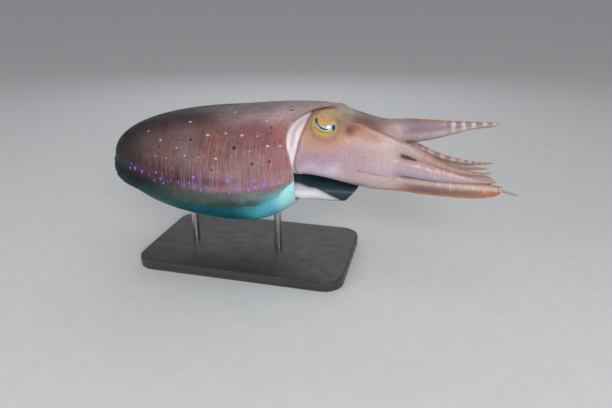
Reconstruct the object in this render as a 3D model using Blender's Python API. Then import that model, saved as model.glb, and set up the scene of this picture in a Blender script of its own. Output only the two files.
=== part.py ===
"""A broadclub cuttlefish, life size, swimming level on a plain display stand.

Run with: blender --background --python part.py
Sizes are in metres, +Z is up, +X points from the tail to the arms and -Y is the animal's right.
The body is drawn in its own frame, with x = 0 near the middle of the mantle, and is then
lifted onto the stand.
"""

import math

import bmesh
import bpy
import numpy as np
from mathutils import Matrix, Vector

# Where the body stands over the base, whose underside centre is the origin.
BODY_SHIFT_X = -0.030
BODY_LIFT = 0.214
GAP = 0.0003  # between faces that meet
SHORT_EDGE = 0.00012  # edges below this length are closed
THIN_FACE = 0.00001  # triangles below this height have their longest edge turned

# Mantle: an oval sack, widest at WIDEST_X, with a dorsal lobe that reaches over the head.
TAIL_X = -0.2055
WIDEST_X = 0.050
HALF_WIDTH = 0.100
BACK_HEIGHT = 0.108  # from the fin line up to the back
BELLY_DEPTH = 0.071  # from the fin line down to the belly
FIN_LINE_Z = -0.068
FIN_LINE_RISE_FRONT = 1.2
FIN_LINE_RISE_TAIL = 0.33
SECTION_POWER = 2.3
TAIL_FAN = 0.050  # radius of the rounded tail end that the last sections turn through
LOBE_X = 0.172
# The mantle's front edge: angle round the section in degrees, 90 being the back, and x.
RIM_ROWS = (
    (-90, 0.1120),
    (-52, 0.1180),
    (-20, 0.1225),
    (0, 0.1225),
    (15, 0.1175),
    (32, 0.1105),
    (45, 0.1105),
    (58, 0.1175),
    (70, 0.1315),
    (79, 0.1460),
    (85, 0.1600),
    (90, 0.1720),
)
RIM_SIDE_X = 0.1195
ANGLES_UP = (90, 84.5, 77, 67, 56, 44, 32, 20, 9)
ANGLES_DOWN = (-8, -22, -37, -52, -66, -78, -90)
BACK_RISE = 0.0072  # the back climbs this much from WIDEST_X to the lobe
WALL = 0.0065
LOBE_WALL = 0.0042
RECESS_X = 0.065  # back wall of the opening that holds the neck and the funnel
RECESS_WALL = 0.012

# Fins: a skirt along each side of the mantle.
FIN_ROOT_HALF = 0.0022
FIN_EDGE = 0.0012
FIN_WIDTH = 0.028
FIN_TAIL_WIDTH = 0.0075
FIN_STEPS = 5

# Head: rows of x, half width, top and bottom along it, from the neck to where the arms part.
HEAD_ROWS = (
    (0.0653, 0.090, 0.040, -0.056),
    (0.095, 0.084, 0.042, -0.056),
    (0.110, 0.0770, 0.0420, -0.056),
    (0.121, 0.0740, 0.0405, -0.057),
    (0.131, 0.0640, 0.0410, -0.058),
    (0.150, 0.0610, 0.0440, -0.060),
    (0.175, 0.0590, 0.0435, -0.0645),
    (0.200, 0.0550, 0.0380, -0.0700),
    (0.225, 0.0490, 0.0320, -0.0745),
    (0.245, 0.0455, 0.0285, -0.0755),
)
HEAD_FRONT_X = 0.272
HEAD_POWER = 2.35
NECK_ROOM = 0.0022  # between the neck and the wall of the mantle's opening

# Eyes: flattened balls in sockets, each under a heavy upper lid. The head is rolled a little, so
# that the right eye sits higher than the left.
EYE_CENTRE = (0.1650, 0.0555, 0.0232)
EYE_ROLL = 0.0026  # how much higher than that the right eye is, and how much lower the left
EYE_RADII = (0.0185, 0.0118, 0.0160)
EYE_TILT = math.radians(14)  # the eyes look slightly upward
EYE_MOUND = 0.0045
EYE_MOUND_WIDTH = 0.024
LID_THICKNESS = 0.0014
UPPER_LID_MARGIN = 0.40  # height of the lids' edges on the eye, as shares of its radius
LOWER_LID_MARGIN = -0.36

# Arms, right side. Each row of a path is x, y, z, side half width and outer half depth.
ARM_POWER_OUTER = 1.7  # below 2, so that the outer edge is a keel
ARM_POWER_ORAL = 2.6
ARMS_RIGHT = {
    1: {
        "outer": (0.0, -0.12, 1.0),  # direction that the keel faces
        "path": (
            (0.225, -0.0098, 0.0080, 0.0085, 0.0190),
            (0.255, -0.0096, 0.0125, 0.0082, 0.0172),
            (0.285, -0.0092, 0.0169, 0.0076, 0.0159),
            (0.312, -0.0088, 0.0210, 0.0065, 0.0135),
            (0.340, -0.0084, 0.0258, 0.0050, 0.0094),
            (0.368, -0.0080, 0.0304, 0.0034, 0.0048),
            (0.390, -0.0076, 0.0331, 0.0020, 0.0024),
            (0.405, -0.0072, 0.0332, 0.0009, 0.0009),
        ),
    },
    2: {
        "outer": (0.0, -1.0, 0.30),
        "path": (
            (0.225, -0.0285, 0.0070, 0.0115, 0.0100),
            (0.255, -0.0285, 0.0010, 0.0100, 0.0098),
            (0.290, -0.0300, -0.0095, 0.0084, 0.0090),
            (0.317, -0.0310, -0.0205, 0.0062, 0.0074),
            (0.342, -0.0320, -0.0280, 0.0047, 0.0056),
            (0.366, -0.0325, -0.0320, 0.0033, 0.0038),
            (0.384, -0.0325, -0.0322, 0.0020, 0.0022),
            (0.397, -0.0320, -0.0300, 0.0009, 0.0009),
        ),
    },
    3: {
        "outer": (0.0, -1.0, -0.30),
        "path": (
            (0.225, -0.0335, -0.0275, 0.0170, 0.0100),
            (0.255, -0.0330, -0.0295, 0.0162, 0.0098),
            (0.290, -0.0320, -0.0336, 0.0137, 0.0088),
            (0.317, -0.0310, -0.0385, 0.0109, 0.0074),
            (0.343, -0.0300, -0.0417, 0.0080, 0.0058),
            (0.368, -0.0290, -0.0440, 0.0048, 0.0040),
            (0.390, -0.0285, -0.0450, 0.0024, 0.0022),
            (0.406, -0.0280, -0.0445, 0.0009, 0.0009),
        ),
    },
    4: {
        "outer": (0.0, -0.35, -1.0),
        "path": (
            (0.225, -0.0190, -0.0580, 0.0110, 0.0150),
            (0.255, -0.0192, -0.0597, 0.0110, 0.0138),
            (0.295, -0.0192, -0.0608, 0.0100, 0.0132),
            (0.335, -0.0192, -0.0618, 0.0080, 0.0130),
            (0.370, -0.0190, -0.0625, 0.0064, 0.0120),
            (0.395, -0.0190, -0.0618, 0.0050, 0.0098),
            (0.408, -0.0190, -0.0612, 0.0036, 0.0064),
            (0.4145, -0.0190, -0.0606, 0.0014, 0.0022),
        ),
    },
}
# The left arms follow the right ones, shifted more and more towards their tips by y, z and x.
LEFT_SHIFT = {1: (-0.001, -0.007, -0.006), 3: (0.001, 0.0005, -0.006), 4: (0.001, 0.001, -0.006)}
LEFT_ARM_2 = (
    (0.225, 0.0285, 0.0070, 0.0115, 0.0100),
    (0.255, 0.0285, -0.0010, 0.0100, 0.0096),
    (0.285, 0.0290, -0.0160, 0.0082, 0.0082),
    (0.305, 0.0295, -0.0235, 0.0068, 0.0072),
    (0.325, 0.0300, -0.0302, 0.0056, 0.0062),
    (0.350, 0.0300, -0.0350, 0.0042, 0.0048),
    (0.375, 0.0300, -0.0366, 0.0028, 0.0032),
    (0.392, 0.0300, -0.0360, 0.0017, 0.0019),
    (0.405, 0.0300, -0.0345, 0.0009, 0.0009),
)

# Suckers, in two rows along the oral face of each arm.
SUCKER_FIRST_X = 0.282
SUCKER_PAIRS = 8
SUCKER_RADIUS = 0.0021
SUCKER_HEIGHT = 0.0017
SUCKER_SIDES = 6

# Tentacles, folded away between the arms. Rows are x, y, z and radius.
TENTACLE_RIGHT = (
    (0.262, -0.0090, -0.0330, 0.0040),
    (0.300, -0.0075, -0.0420, 0.0038),
    (0.345, -0.0068, -0.0510, 0.0034),
    (0.385, -0.0068, -0.0575, 0.0028),
    (0.412, -0.0090, -0.0625, 0.0019),
    (0.438, -0.0150, -0.0665, 0.0008),
)
TENTACLE_LEFT_SHORTER = 0.90

# Funnel: a wide tube under the head, with a slanted mouth. Rows are x, half width, height of the
# middle and half height.
FUNNEL_ROWS = (
    (0.0653, 0.088, -0.0830, 0.0460),
    (0.092, 0.082, -0.0790, 0.0340),
    (0.108, 0.068, -0.0750, 0.0225),
    (0.122, 0.051, -0.0801, 0.0196),
    (0.145, 0.035, -0.0835, 0.0180),
    (0.175, 0.0235, -0.0875, 0.0160),
    (0.198, 0.0185, -0.0890, 0.0140),
)
FUNNEL_SLANT = 0.85
FUNNEL_WALL = 0.0025
FUNNEL_BORE = 0.030

# Stand: a flat base and two rods.
BASE_LENGTH = 0.340
BASE_WIDTH = 0.200
BASE_THICKNESS = 0.016
BASE_CORNER = 0.030
BASE_EDGE = 0.002
ROD_RADIUS = 0.006
ROD_X = {"stand_rod_rear": -0.075, "stand_rod_front": 0.075}
ROD_SINK = 0.030  # how far the uncut rod runs up into the belly


def smooth_rows(rows, at):
    """Reads a table of rows, first column rising, along one smooth curve through its points."""
    table = np.array(rows, float)
    xs, ys = table[:, 0], table[:, 1:]
    slopes = np.gradient(ys, xs, axis=0)
    at = np.clip(np.atleast_1d(np.asarray(at, float)), xs[0], xs[-1])
    k = np.clip(np.searchsorted(xs, at) - 1, 0, len(xs) - 2)
    step = (xs[k + 1] - xs[k])[:, None]
    t = (at - xs[k])[:, None] / step
    h00 = 2 * t**3 - 3 * t**2 + 1
    h10 = t**3 - 2 * t**2 + t
    h01 = -2 * t**3 + 3 * t**2
    h11 = t**3 - t**2
    return h00 * ys[k] + h10 * step * slopes[k] + h01 * ys[k + 1] + h11 * step * slopes[k + 1]


# Shape of the mantle.


def fin_line(x):
    """Height of the line along which the fins leave the mantle."""
    return FIN_LINE_Z + (FIN_LINE_RISE_FRONT if x > 0 else FIN_LINE_RISE_TAIL) * x * x


def tail_share(x):
    """0 at the widest section and 1 at the tail's tip."""
    return min(1.0, max(0.0, (WIDEST_X - x) / (WIDEST_X - TAIL_X)))


def mantle_half_width(x):
    if x < WIDEST_X:
        return HALF_WIDTH * math.sqrt(max(0.0, 1 - tail_share(x) ** 2))
    return HALF_WIDTH - 3.8 * (x - WIDEST_X) ** 2


def mantle_up(x):
    """From the fin line up to the back."""
    if x < WIDEST_X:
        return BACK_HEIGHT * math.sqrt(max(0.0, 1 - tail_share(x) ** 2))
    rise = BACK_RISE * (1 - ((LOBE_X - x) / (LOBE_X - WIDEST_X)) ** 2)
    return BACK_HEIGHT + fin_line(WIDEST_X) + rise - fin_line(x)


def mantle_down(x):
    """From the fin line down to the belly, which stays full towards the tail."""
    if x < WIDEST_X:
        return BELLY_DEPTH * math.sqrt(max(0.0, 1 - tail_share(x) ** 3))
    ahead = x - WIDEST_X
    belly = fin_line(WIDEST_X) - BELLY_DEPTH + 0.12 * ahead + 5.6 * ahead * ahead
    return fin_line(x) - belly


def mantle_surface(x, y, upper):
    """The point of the mantle's outside above or below (x, y)."""
    share = min(1.0, abs(y) / max(1e-9, mantle_half_width(x)))
    rise = max(0.0, 1 - share**SECTION_POWER) ** (1 / SECTION_POWER)
    height = mantle_up(x) if upper else -mantle_down(x)
    return (x, y, fin_line(x) + height * rise)


def rim_x(angle):
    """Where the mantle's front edge lies at an angle round the section, 90 degrees being the back."""
    return float(smooth_rows(RIM_ROWS, math.degrees(angle))[0][0])


def section_angles():
    """Angles of a half section's rows from back to belly, with the fin's two root rows between."""
    up = [math.radians(a) for a in ANGLES_UP]
    return up + ["root top", "root bottom"] + [math.radians(a) for a in ANGLES_DOWN]


def root_reach(height_at):
    """How far out along a section its outside is FIN_ROOT_HALF from the fin line, found by halving."""
    low, high = 0.5, 1.0
    for _ in range(40):
        middle = (low + high) / 2
        if height_at(middle) > FIN_ROOT_HALF:
            low = middle
        else:
            high = middle
    return low


def mantle_row(station, row):
    """One point of the right half of the mantle's outside.

    A station above 0 is a share of the way from the widest section to the rim. One below 0 is minus
    the angle that a section near the tail has turned through.
    """
    upper = row == "root top" or (not isinstance(row, str) and row > 0)
    angle = 0.0 if isinstance(row, str) else row
    if station >= 0:
        x = WIDEST_X + (rim_x(angle) - WIDEST_X) * station
        if isinstance(row, str):
            height = mantle_up(x) if upper else mantle_down(x)
            reach = (1 - (FIN_ROOT_HALF / height) ** SECTION_POWER) ** (1 / SECTION_POWER)
        else:
            reach = abs(math.cos(angle)) ** (2 / SECTION_POWER)
        return mantle_surface(x, -mantle_half_width(x) * reach, upper)
    axis_x, edge = fan(station)

    def at(share):
        x = axis_x + (edge[0] - axis_x) * share
        return mantle_surface(x, edge[1] * share, upper)

    if isinstance(row, str):
        reach = root_reach(lambda share: abs(at(share)[2] - fin_line(at(share)[0])))
    else:
        reach = abs(math.cos(angle)) ** (2 / SECTION_POWER)
    return at(reach)


def fan(station):
    """A turned section's point on the axis and its point on the mantle's outline."""
    turn = -station
    length = WIDEST_X - TAIL_X
    axis_x = WIDEST_X - (length - TAIL_FAN) * math.sin(turn)
    return axis_x, (WIDEST_X - length * math.sin(turn), -HALF_WIDTH * math.cos(turn))


def outward(station):
    """Horizontal direction in which a section of the right half points."""
    if station >= 0:
        return np.array([0.0, -1.0, 0.0])
    axis_x, edge = fan(station)
    direction = np.array([edge[0] - axis_x, edge[1], 0.0])
    return direction / np.linalg.norm(direction)


FRONT_STATIONS = [1.0, 0.86, 0.66, 0.44, 0.22, 0.0]
FAN_STATIONS = [-math.radians(a) for a in (8, 17, 26, 35, 44, 52, 60, 67, 74, 80, 85, 90)]
STATIONS = FRONT_STATIONS + FAN_STATIONS
ROWS = section_angles()


def ring(right_half):
    """A closed ring from its right half: the left half mirrors it, without the two middle points."""
    left_half = [(x, -y, z) for x, y, z in reversed(right_half[1:-1])]
    return right_half + left_half


def opening_wall(x, front):
    """Thickness of the mantle's wall at x for a front edge at front: thickest at the back wall."""
    over_head = max(0.0, (front - RIM_SIDE_X) / (LOBE_X - RIM_SIDE_X))
    at_rim = WALL + (LOBE_WALL - WALL) * over_head
    share = min(1.0, (x - RECESS_X) / (front - RECESS_X))
    return RECESS_WALL + (at_rim - RECESS_WALL) * share


def inner_ring(share, wall_share, x_push=0.0):
    """A ring of the opening's inside. share is 1 at the rim and 0 at the back wall."""
    points = []
    for row in ROWS:
        rim = mantle_row(1.0, row)
        x = RECESS_X + (rim[0] - RECESS_X) * share
        station = (x - WIDEST_X) / (rim[0] - WIDEST_X)
        p = np.array(mantle_row(station, row))
        middle = np.array([x, 0.0, fin_line(x) + (mantle_up(x) - mantle_down(x)) / 2])
        inward = middle - p
        q = p + inward / np.linalg.norm(inward) * opening_wall(x, rim[0]) * wall_share
        points.append((x + x_push, q[1], q[2]))
    return ring(points)


def mantle_rings(opening=True):
    rings = []
    if opening:
        rings.append(inner_ring(0.0, 1.0))
        rings.append(inner_ring(0.5, 1.0))
        rings.append(inner_ring(1.0, 1.0))
        rings.append(inner_ring(1.0, 0.5, 0.002))
    for station in STATIONS:
        rings.append(ring([mantle_row(station, row) for row in ROWS]))
    return rings


# Building meshes.


def material(name, colour, roughness=0.5, metallic=0.0):
    made = bpy.data.materials.get(name) or bpy.data.materials.new(name)
    made.use_nodes = True
    shader = made.node_tree.nodes["Principled BSDF"]
    shader.inputs["Base Color"].default_value = (*colour, 1.0)
    shader.inputs["Roughness"].default_value = roughness
    shader.inputs["Metallic"].default_value = metallic
    return made


def add_object(name, vertices, faces, made_of=None):
    """A mesh object from points in the body's frame, lifted onto the stand, with its faces turned out."""
    mesh = bpy.data.meshes.new(name)
    mesh.from_pydata([tuple(float(c) for c in v) for v in vertices], [], faces)
    obj = bpy.data.objects.new(name, mesh)
    bpy.context.scene.collection.objects.link(obj)
    obj.data.transform(Matrix.Translation(Vector((BODY_SHIFT_X, 0, BODY_LIFT))))
    tidy(obj)
    if made_of:
        mesh.materials.append(made_of)
    return obj


def tidy(obj):
    """Makes a mesh all triangles facing out, and mends its very short edges and thin triangles."""
    bm = bmesh.new()
    bm.from_mesh(obj.data)
    bmesh.ops.remove_doubles(bm, verts=bm.verts, dist=0.000001)
    bmesh.ops.triangulate(bm, faces=bm.faces)
    for _ in range(400):
        short = [e for e in bm.edges if e.calc_length() < SHORT_EDGE and can_close(e)]
        if not short:
            break
        edge = min(short, key=lambda e: (round(e.calc_length(), 9), e.index))
        a, b = edge.verts
        bmesh.ops.weld_verts(bm, targetmap={a: b})
        bm.edges.index_update()
    for _ in range(6):
        bm.faces.index_update()
        for face in [f for f in bm.faces if face_height(f) < THIN_FACE]:
            if not face.is_valid:
                continue
            edge = max(face.edges, key=lambda e: e.calc_length())
            before = min(face_height(f) for f in edge.link_faces)
            turned = bmesh.utils.edge_rotate(edge, False)
            if turned and min(face_height(f) for f in turned.link_faces) <= before:
                bmesh.utils.edge_rotate(turned, True)
    bmesh.ops.recalc_face_normals(bm, faces=bm.faces)
    bm.to_mesh(obj.data)
    bm.free()


def face_height(face):
    return 2 * face.calc_area() / max(e.calc_length() for e in face.edges)


def can_close(edge):
    """Whether an edge can shrink to a point without pinching the surface."""
    a, b = edge.verts
    near_a = {e.other_vert(a) for e in a.link_edges}
    near_b = {e.other_vert(b) for e in b.link_edges}
    return len(edge.link_faces) == 2 and len(near_a & near_b) == 2 and len(near_a | near_b) > 5


def loft(rings, close_start=True, close_end=True):
    """Vertices and faces of a tube through rings that have the same number of points."""
    count = len(rings[0])
    vertices = [p for r in rings for p in r]
    faces = []
    for i in range(len(rings) - 1):
        for j in range(count):
            a, b = i * count + j, i * count + (j + 1) % count
            c, d = a + count, b + count
            faces += [(a, b, d), (a, d, c)]
    if close_start:
        faces.append(tuple(range(count)))
    if close_end:
        faces.append(tuple(range((len(rings) - 1) * count, len(rings) * count)))
    return vertices, faces


def boolean(obj, others, operation, solver="EXACT"):
    """Joins or cuts obj with the closed objects in others, applies it and removes them."""
    group = bpy.data.collections.new("pieces")
    for other in others:
        group.objects.link(other)
    modifier = obj.modifiers.new("boolean", "BOOLEAN")
    modifier.operation = operation
    modifier.solver = solver
    modifier.operand_type = "COLLECTION"
    modifier.collection = group
    done = obj.evaluated_get(bpy.context.evaluated_depsgraph_get())
    mesh = bpy.data.meshes.new_from_object(done)
    obj.modifiers.clear()
    old = obj.data
    obj.data = mesh
    bpy.data.meshes.remove(old)
    for other in others:
        bpy.data.objects.remove(other)
    bpy.data.collections.remove(group)
    tidy(obj)
    keep_largest(obj)
    return obj


def keep_largest(obj):
    """Deletes every closed surface of obj but the one that reaches furthest."""
    bm = bmesh.new()
    bm.from_mesh(obj.data)
    left = set(bm.verts)
    shells = []
    while left:
        stack = [left.pop()]
        shell = set(stack)
        while stack:
            for edge in stack.pop().link_edges:
                for v in edge.verts:
                    if v in left:
                        left.discard(v)
                        shell.add(v)
                        stack.append(v)
        shells.append(shell)

    def reach(shell):
        corners = np.array([v.co for v in shell])
        return float(np.prod(np.ptp(corners, axis=0) + 1e-6))

    shells.sort(key=reach)
    for shell in shells[:-1]:
        bmesh.ops.delete(bm, geom=list(shell), context="VERTS")
    bm.to_mesh(obj.data)
    bm.free()


def finish(obj, made_of):
    """Sets a node's one material and its smooth shading."""
    obj.data.materials.clear()
    obj.data.materials.append(made_of)
    obj.data.shade_smooth()
    obj.data.set_sharp_from_angle(angle=math.radians(50))
    return obj


# Mantle and fins.


def make_mantle(made_of):
    vertices, faces = loft(mantle_rings(), close_start=True, close_end=False)
    return finish(add_object("mantle", vertices, faces), made_of)


def mantle_cutter():
    """The mantle's outside alone, a gap larger all round, for what meets the belly."""
    rings = mantle_rings(opening=False)
    vertices, faces = loft(rings, close_start=True, close_end=False)
    cutter = add_object("mantle_cutter", vertices, faces)
    grow(cutter, GAP)
    return cutter


def grow(obj, distance):
    """Moves every vertex out along its normal."""
    bm = bmesh.new()
    bm.from_mesh(obj.data)
    bm.normal_update()
    moves = [(v, v.normal * distance * v.calc_shell_factor()) for v in bm.verts]
    for v, move in moves:
        v.co += move
    bm.to_mesh(obj.data)
    bm.free()


def make_fin(name, side, made_of):
    """A curved sheet rooted a gap off the mantle's two root rows, with a drooping, waved edge."""
    stations = STATIONS[:-1]
    last = len(stations) - 1
    rings = []
    for i, station in enumerate(stations):
        along = i / last  # 0 at the fin's front end and 1 at its end by the tail
        out = outward(station)
        top = np.array(mantle_row(station, "root top"))
        bottom = np.array(mantle_row(station, "root bottom"))
        foot = GAP * 1.5 * out
        centre = (top + bottom) / 2 + foot
        opening = math.sin(min(1.0, along / 0.22) * math.pi / 2)
        closing = math.sin(min(1.0, (1 - along) / 0.10) * math.pi / 2)
        width = FIN_WIDTH + (FIN_TAIL_WIDTH - FIN_WIDTH) * max(0.0, (along - 0.35) / 0.65) ** 1.5
        width *= (0.08 + 0.92 * opening) * (0.30 + 0.70 * closing)
        wave = math.radians(7) * math.sin(along * 5 * math.pi)
        spread = min(1.0, width / 0.018)
        upper, lower = [top + foot], [bottom + foot]
        p = centre.copy()
        for k in range(1, FIN_STEPS + 1):
            q = k / FIN_STEPS
            droop = (math.radians(10 + 36 * q + 14 * along) + wave * q) * (0.35 + 0.65 * spread)
            step = out * math.cos(droop) - np.array([0, 0, math.sin(droop)])
            p = p + step * width / FIN_STEPS
            normal = out * math.sin(droop) + np.array([0, 0, math.cos(droop)])
            half = FIN_EDGE / 2 + (FIN_ROOT_HALF - FIN_EDGE / 2) * (1 - q ** (1.0 - 0.4 * spread))
            upper.append(p + normal * half)
            lower.append(p - normal * half)
        section = upper + lower[::-1]
        rings.append([(v[0], v[1] * side, v[2]) for v in section])
    vertices, faces = loft(rings, False, False)
    points = len(rings[0])
    for first in (0, (len(rings) - 1) * points):
        for k in range(FIN_STEPS):
            faces.append((first + k, first + k + 1, first + points - 2 - k, first + points - 1 - k))
    return finish(add_object(name, vertices, faces), made_of)


# Head, eyes and lids.


def head_section(x):
    """Half width, middle and half height of the head at x, closing as a dome past the last row."""
    last = HEAD_ROWS[-1][0]
    width, top, bottom = smooth_rows(HEAD_ROWS, min(x, last))[0]
    middle, half = (top + bottom) / 2, (top - bottom) / 2
    if x > last:
        share = (x - last) / (HEAD_FRONT_X - last)
        close = max(0.0, 1 - share**2.5) ** (1 / 2.5)
        width, half = width * close, half * close
    return width, middle, half


def head_point(x, angle, grown=0.0):
    """A point of the head's outside, with the mound round each eye."""
    width, middle, half = head_section(x)
    c, s = math.cos(angle), math.sin(angle)
    y = (width + grown) * math.copysign(abs(c) ** (2 / HEAD_POWER), c)
    z = middle + (half + grown) * math.copysign(abs(s) ** (2 / HEAD_POWER), s)
    eye_z = eye_middle(1 if y > 0 else -1)[2]
    off = math.hypot((x - EYE_CENTRE[0]) * 0.85, z - eye_z)
    mound = EYE_MOUND * math.exp(-((off / EYE_MOUND_WIDTH) ** 2))
    y, z = y + math.copysign(mound * min(1.0, abs(y) / 0.03), y), z + 0.4 * mound * (z > eye_z)
    return (x, *inside_mantle(x, y, z))


def inside_mantle(x, y, z):
    """Draws a point of the neck in until it lies NECK_ROOM clear of the wall of the mantle's opening."""
    up = z - fin_line(x)
    if x > (LOBE_X if up > 0 else RIM_SIDE_X) + 0.020:
        return y, z
    height = mantle_up(x) if up > 0 else -mantle_down(x)
    half_power = SECTION_POWER / 2
    angle = math.atan2((up / height) ** half_power, (abs(y) / mantle_half_width(x)) ** half_power)
    front = rim_x(math.copysign(angle, up))
    in_by = opening_wall(min(x, front), front) + NECK_ROOM
    wide = mantle_half_width(x) - in_by
    tall = abs(height) - in_by
    full = (abs(y / wide) ** SECTION_POWER + abs(up / tall) ** SECTION_POWER) ** (1 / SECTION_POWER)
    free = min(1.0, max(0.0, (x - front - 0.006) / 0.014))
    shrink = 1 + (1 / max(1.0, full) - 1) * (1 - free)
    return y * shrink, fin_line(x) + up * shrink


def make_head(made_of):
    xs = [0.0653, 0.080, 0.095, 0.106, 0.114, 0.121, 0.127, 0.134, 0.144, 0.154, 0.164, 0.174, 0.184, 0.197]
    xs += [0.212, 0.228, 0.245, 0.254, 0.262, 0.268, 0.2711]
    rings = [head_ring(x) for x in xs]
    vertices, faces = loft(rings)
    head = add_object("head", vertices, faces)
    boolean(head, [make_lid(side, lid) for side in (-1, 1) for lid in ("upper", "lower")], "UNION")
    boolean(head, [make_eyeball("socket", side, GAP) for side in (-1, 1)], "DIFFERENCE")
    return finish(head, made_of)


def head_ring(x, grown=0.0, count=32):
    return [head_point(x, 2 * math.pi * (i + 0.5) / count, grown) for i in range(count)]


def head_cutter():
    """The head's outside without lids or sockets, a gap larger."""
    xs = [0.0653, 0.095, 0.114, 0.121, 0.134, 0.154, 0.174, 0.197]
    xs += [0.212, 0.228, 0.245, 0.254, 0.262, 0.268, 0.2711]
    vertices, faces = loft([head_ring(x) for x in xs])
    cutter = add_object("head_cutter", vertices, faces)
    grow(cutter, GAP * 1.3)
    return cutter


def ellipsoid(name, radii, across=20, down=12):
    """An ellipsoid about the body frame's zero, with its poles on Y."""
    rings = []
    for i in range(1, down):
        polar = math.pi * i / down
        y, r = -math.cos(polar), math.sin(polar)
        rings.append(
            [
                (radii[0] * r * math.cos(a), radii[1] * y, radii[2] * r * math.sin(a))
                for a in (2 * math.pi * j / across for j in range(across))
            ]
        )
    vertices, faces = loft(rings, False, False)
    start, end = len(vertices), len(vertices) + 1
    vertices += [(0, -radii[1], 0), (0, radii[1], 0)]
    last = (down - 2) * across
    for j in range(across):
        faces.append((start, j, (j + 1) % across))
        faces.append((end, last + j, last + (j + 1) % across))
    return name, vertices, faces


def eye_middle(side):
    """Centre of the eye on that side, -1 being the right."""
    return EYE_CENTRE[0], side * EYE_CENTRE[1], EYE_CENTRE[2] - side * EYE_ROLL


def eye_place(side):
    """Turns and moves a thing made about zero to the eye on that side."""
    lift = Matrix.Rotation(-side * EYE_TILT, 4, "X")
    place = Vector(eye_middle(side))
    body = Vector((BODY_SHIFT_X, 0, BODY_LIFT))
    return Matrix.Translation(place + body) @ lift @ Matrix.Translation(-body)


def make_eyeball(name, side, grown=0.0):
    ball = add_object(*ellipsoid(name, [r + grown for r in EYE_RADII]))
    ball.data.transform(eye_place(side))
    tidy(ball)
    return ball


def make_lid(side, which):
    """A skin fold over the eye, the heavy upper or the thin lower one, cut from a larger ball."""
    upper = which == "upper"
    thickness = LID_THICKNESS if upper else LID_THICKNESS * 0.7
    lid = add_object(*ellipsoid("lid", [r + thickness for r in EYE_RADII], 24))
    bm = bmesh.new()
    bm.from_mesh(lid.data)
    height = EYE_RADII[2] * (UPPER_LID_MARGIN if upper else LOWER_LID_MARGIN)
    margin = Vector((BODY_SHIFT_X, 0, BODY_LIFT + height))
    cut = bmesh.ops.bisect_plane(
        bm,
        geom=bm.verts[:] + bm.edges[:] + bm.faces[:],
        plane_co=margin,
        plane_no=Vector((-0.22, 0, -1)) if upper else Vector((0.22, 0, 1)),
        clear_outer=True,
    )
    edges = [e for e in cut["geom_cut"] if isinstance(e, bmesh.types.BMEdge)]
    bmesh.ops.holes_fill(bm, edges=edges)
    bm.to_mesh(lid.data)
    bm.free()
    lid.data.transform(eye_place(side))
    tidy(lid)
    return lid


# Arms and tentacles.


def left_path(number):
    """A left arm's path: its own, or the right one mirrored and shifted towards the tip."""
    if number == 2:
        return LEFT_ARM_2
    shift_y, shift_z, shift_x = LEFT_SHIFT[number]
    rows = []
    path = ARMS_RIGHT[number]["path"]
    for x, y, z, across, deep in path:
        free = max(0.0, (x - 0.27) / (path[-1][0] - 0.27)) ** 0.6
        rows.append((x + shift_x * free, -y + shift_y * free, z + shift_z * free, across, deep))
    return tuple(rows)


def arm_frame(rows, outer, x, side):
    """Centre, half sizes, side direction and outer direction of an arm at x."""
    values = smooth_rows(rows, x)[0]
    ahead = smooth_rows(rows, min(x + 0.002, rows[-1][0]))[0]
    behind = smooth_rows(rows, max(x - 0.002, rows[0][0]))[0]
    tangent = np.array([0.004, ahead[0] - behind[0], ahead[1] - behind[1]])
    tangent /= np.linalg.norm(tangent)
    out = np.array([outer[0], outer[1] * -side, outer[2]])
    out = out - tangent * (out @ tangent)
    out /= np.linalg.norm(out)
    return np.array([x, values[0], values[1]]), values[2], values[3], np.cross(tangent, out), out


def arm_outline(across, deep, angle):
    """A point of an arm's section: a keel on its outer side and a flatter oral side."""
    c, s = math.cos(angle), math.sin(angle)
    power = ARM_POWER_OUTER if s > 0 else ARM_POWER_ORAL
    a = across * math.copysign(abs(c) ** (2 / power), c)
    return a, deep * math.copysign(abs(s) ** (2 / power), s)


def arm_rows(number, side):
    return ARMS_RIGHT[number]["path"] if side < 0 else left_path(number)


def arm_rings(number, side, stations, count, oral_room=0.0):
    """Rings of an arm. oral_room adds that much depth on the oral side, over the suckers."""
    rows = arm_rows(number, side)
    first, last = rows[0][0], rows[-1][0]
    rings = []
    for i in range(stations):
        x = first + (last - first) * (i / (stations - 1)) ** 0.9
        centre, across, deep, sideways, out = arm_frame(rows, ARMS_RIGHT[number]["outer"], x, side)
        points = []
        for k in range(count):
            a, b = arm_outline(across, deep, 2 * math.pi * (k + 0.5) / count)
            if b < 0 and x > SUCKER_FIRST_X - 0.012:
                b *= 1 + oral_room / deep
            points.append(tuple(centre + sideways * a + out * b))
        rings.append(points)
    return rings


def arm_cutter(number, side):
    """An arm's outside with its suckers, a gap larger, for its neighbour."""
    rings = arm_rings(number, side, 13, 12, SUCKER_HEIGHT * 1.4)
    cutter = add_object("arm_cutter", *loft(rings))
    grow(cutter, GAP * 1.3)
    return cutter


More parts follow.
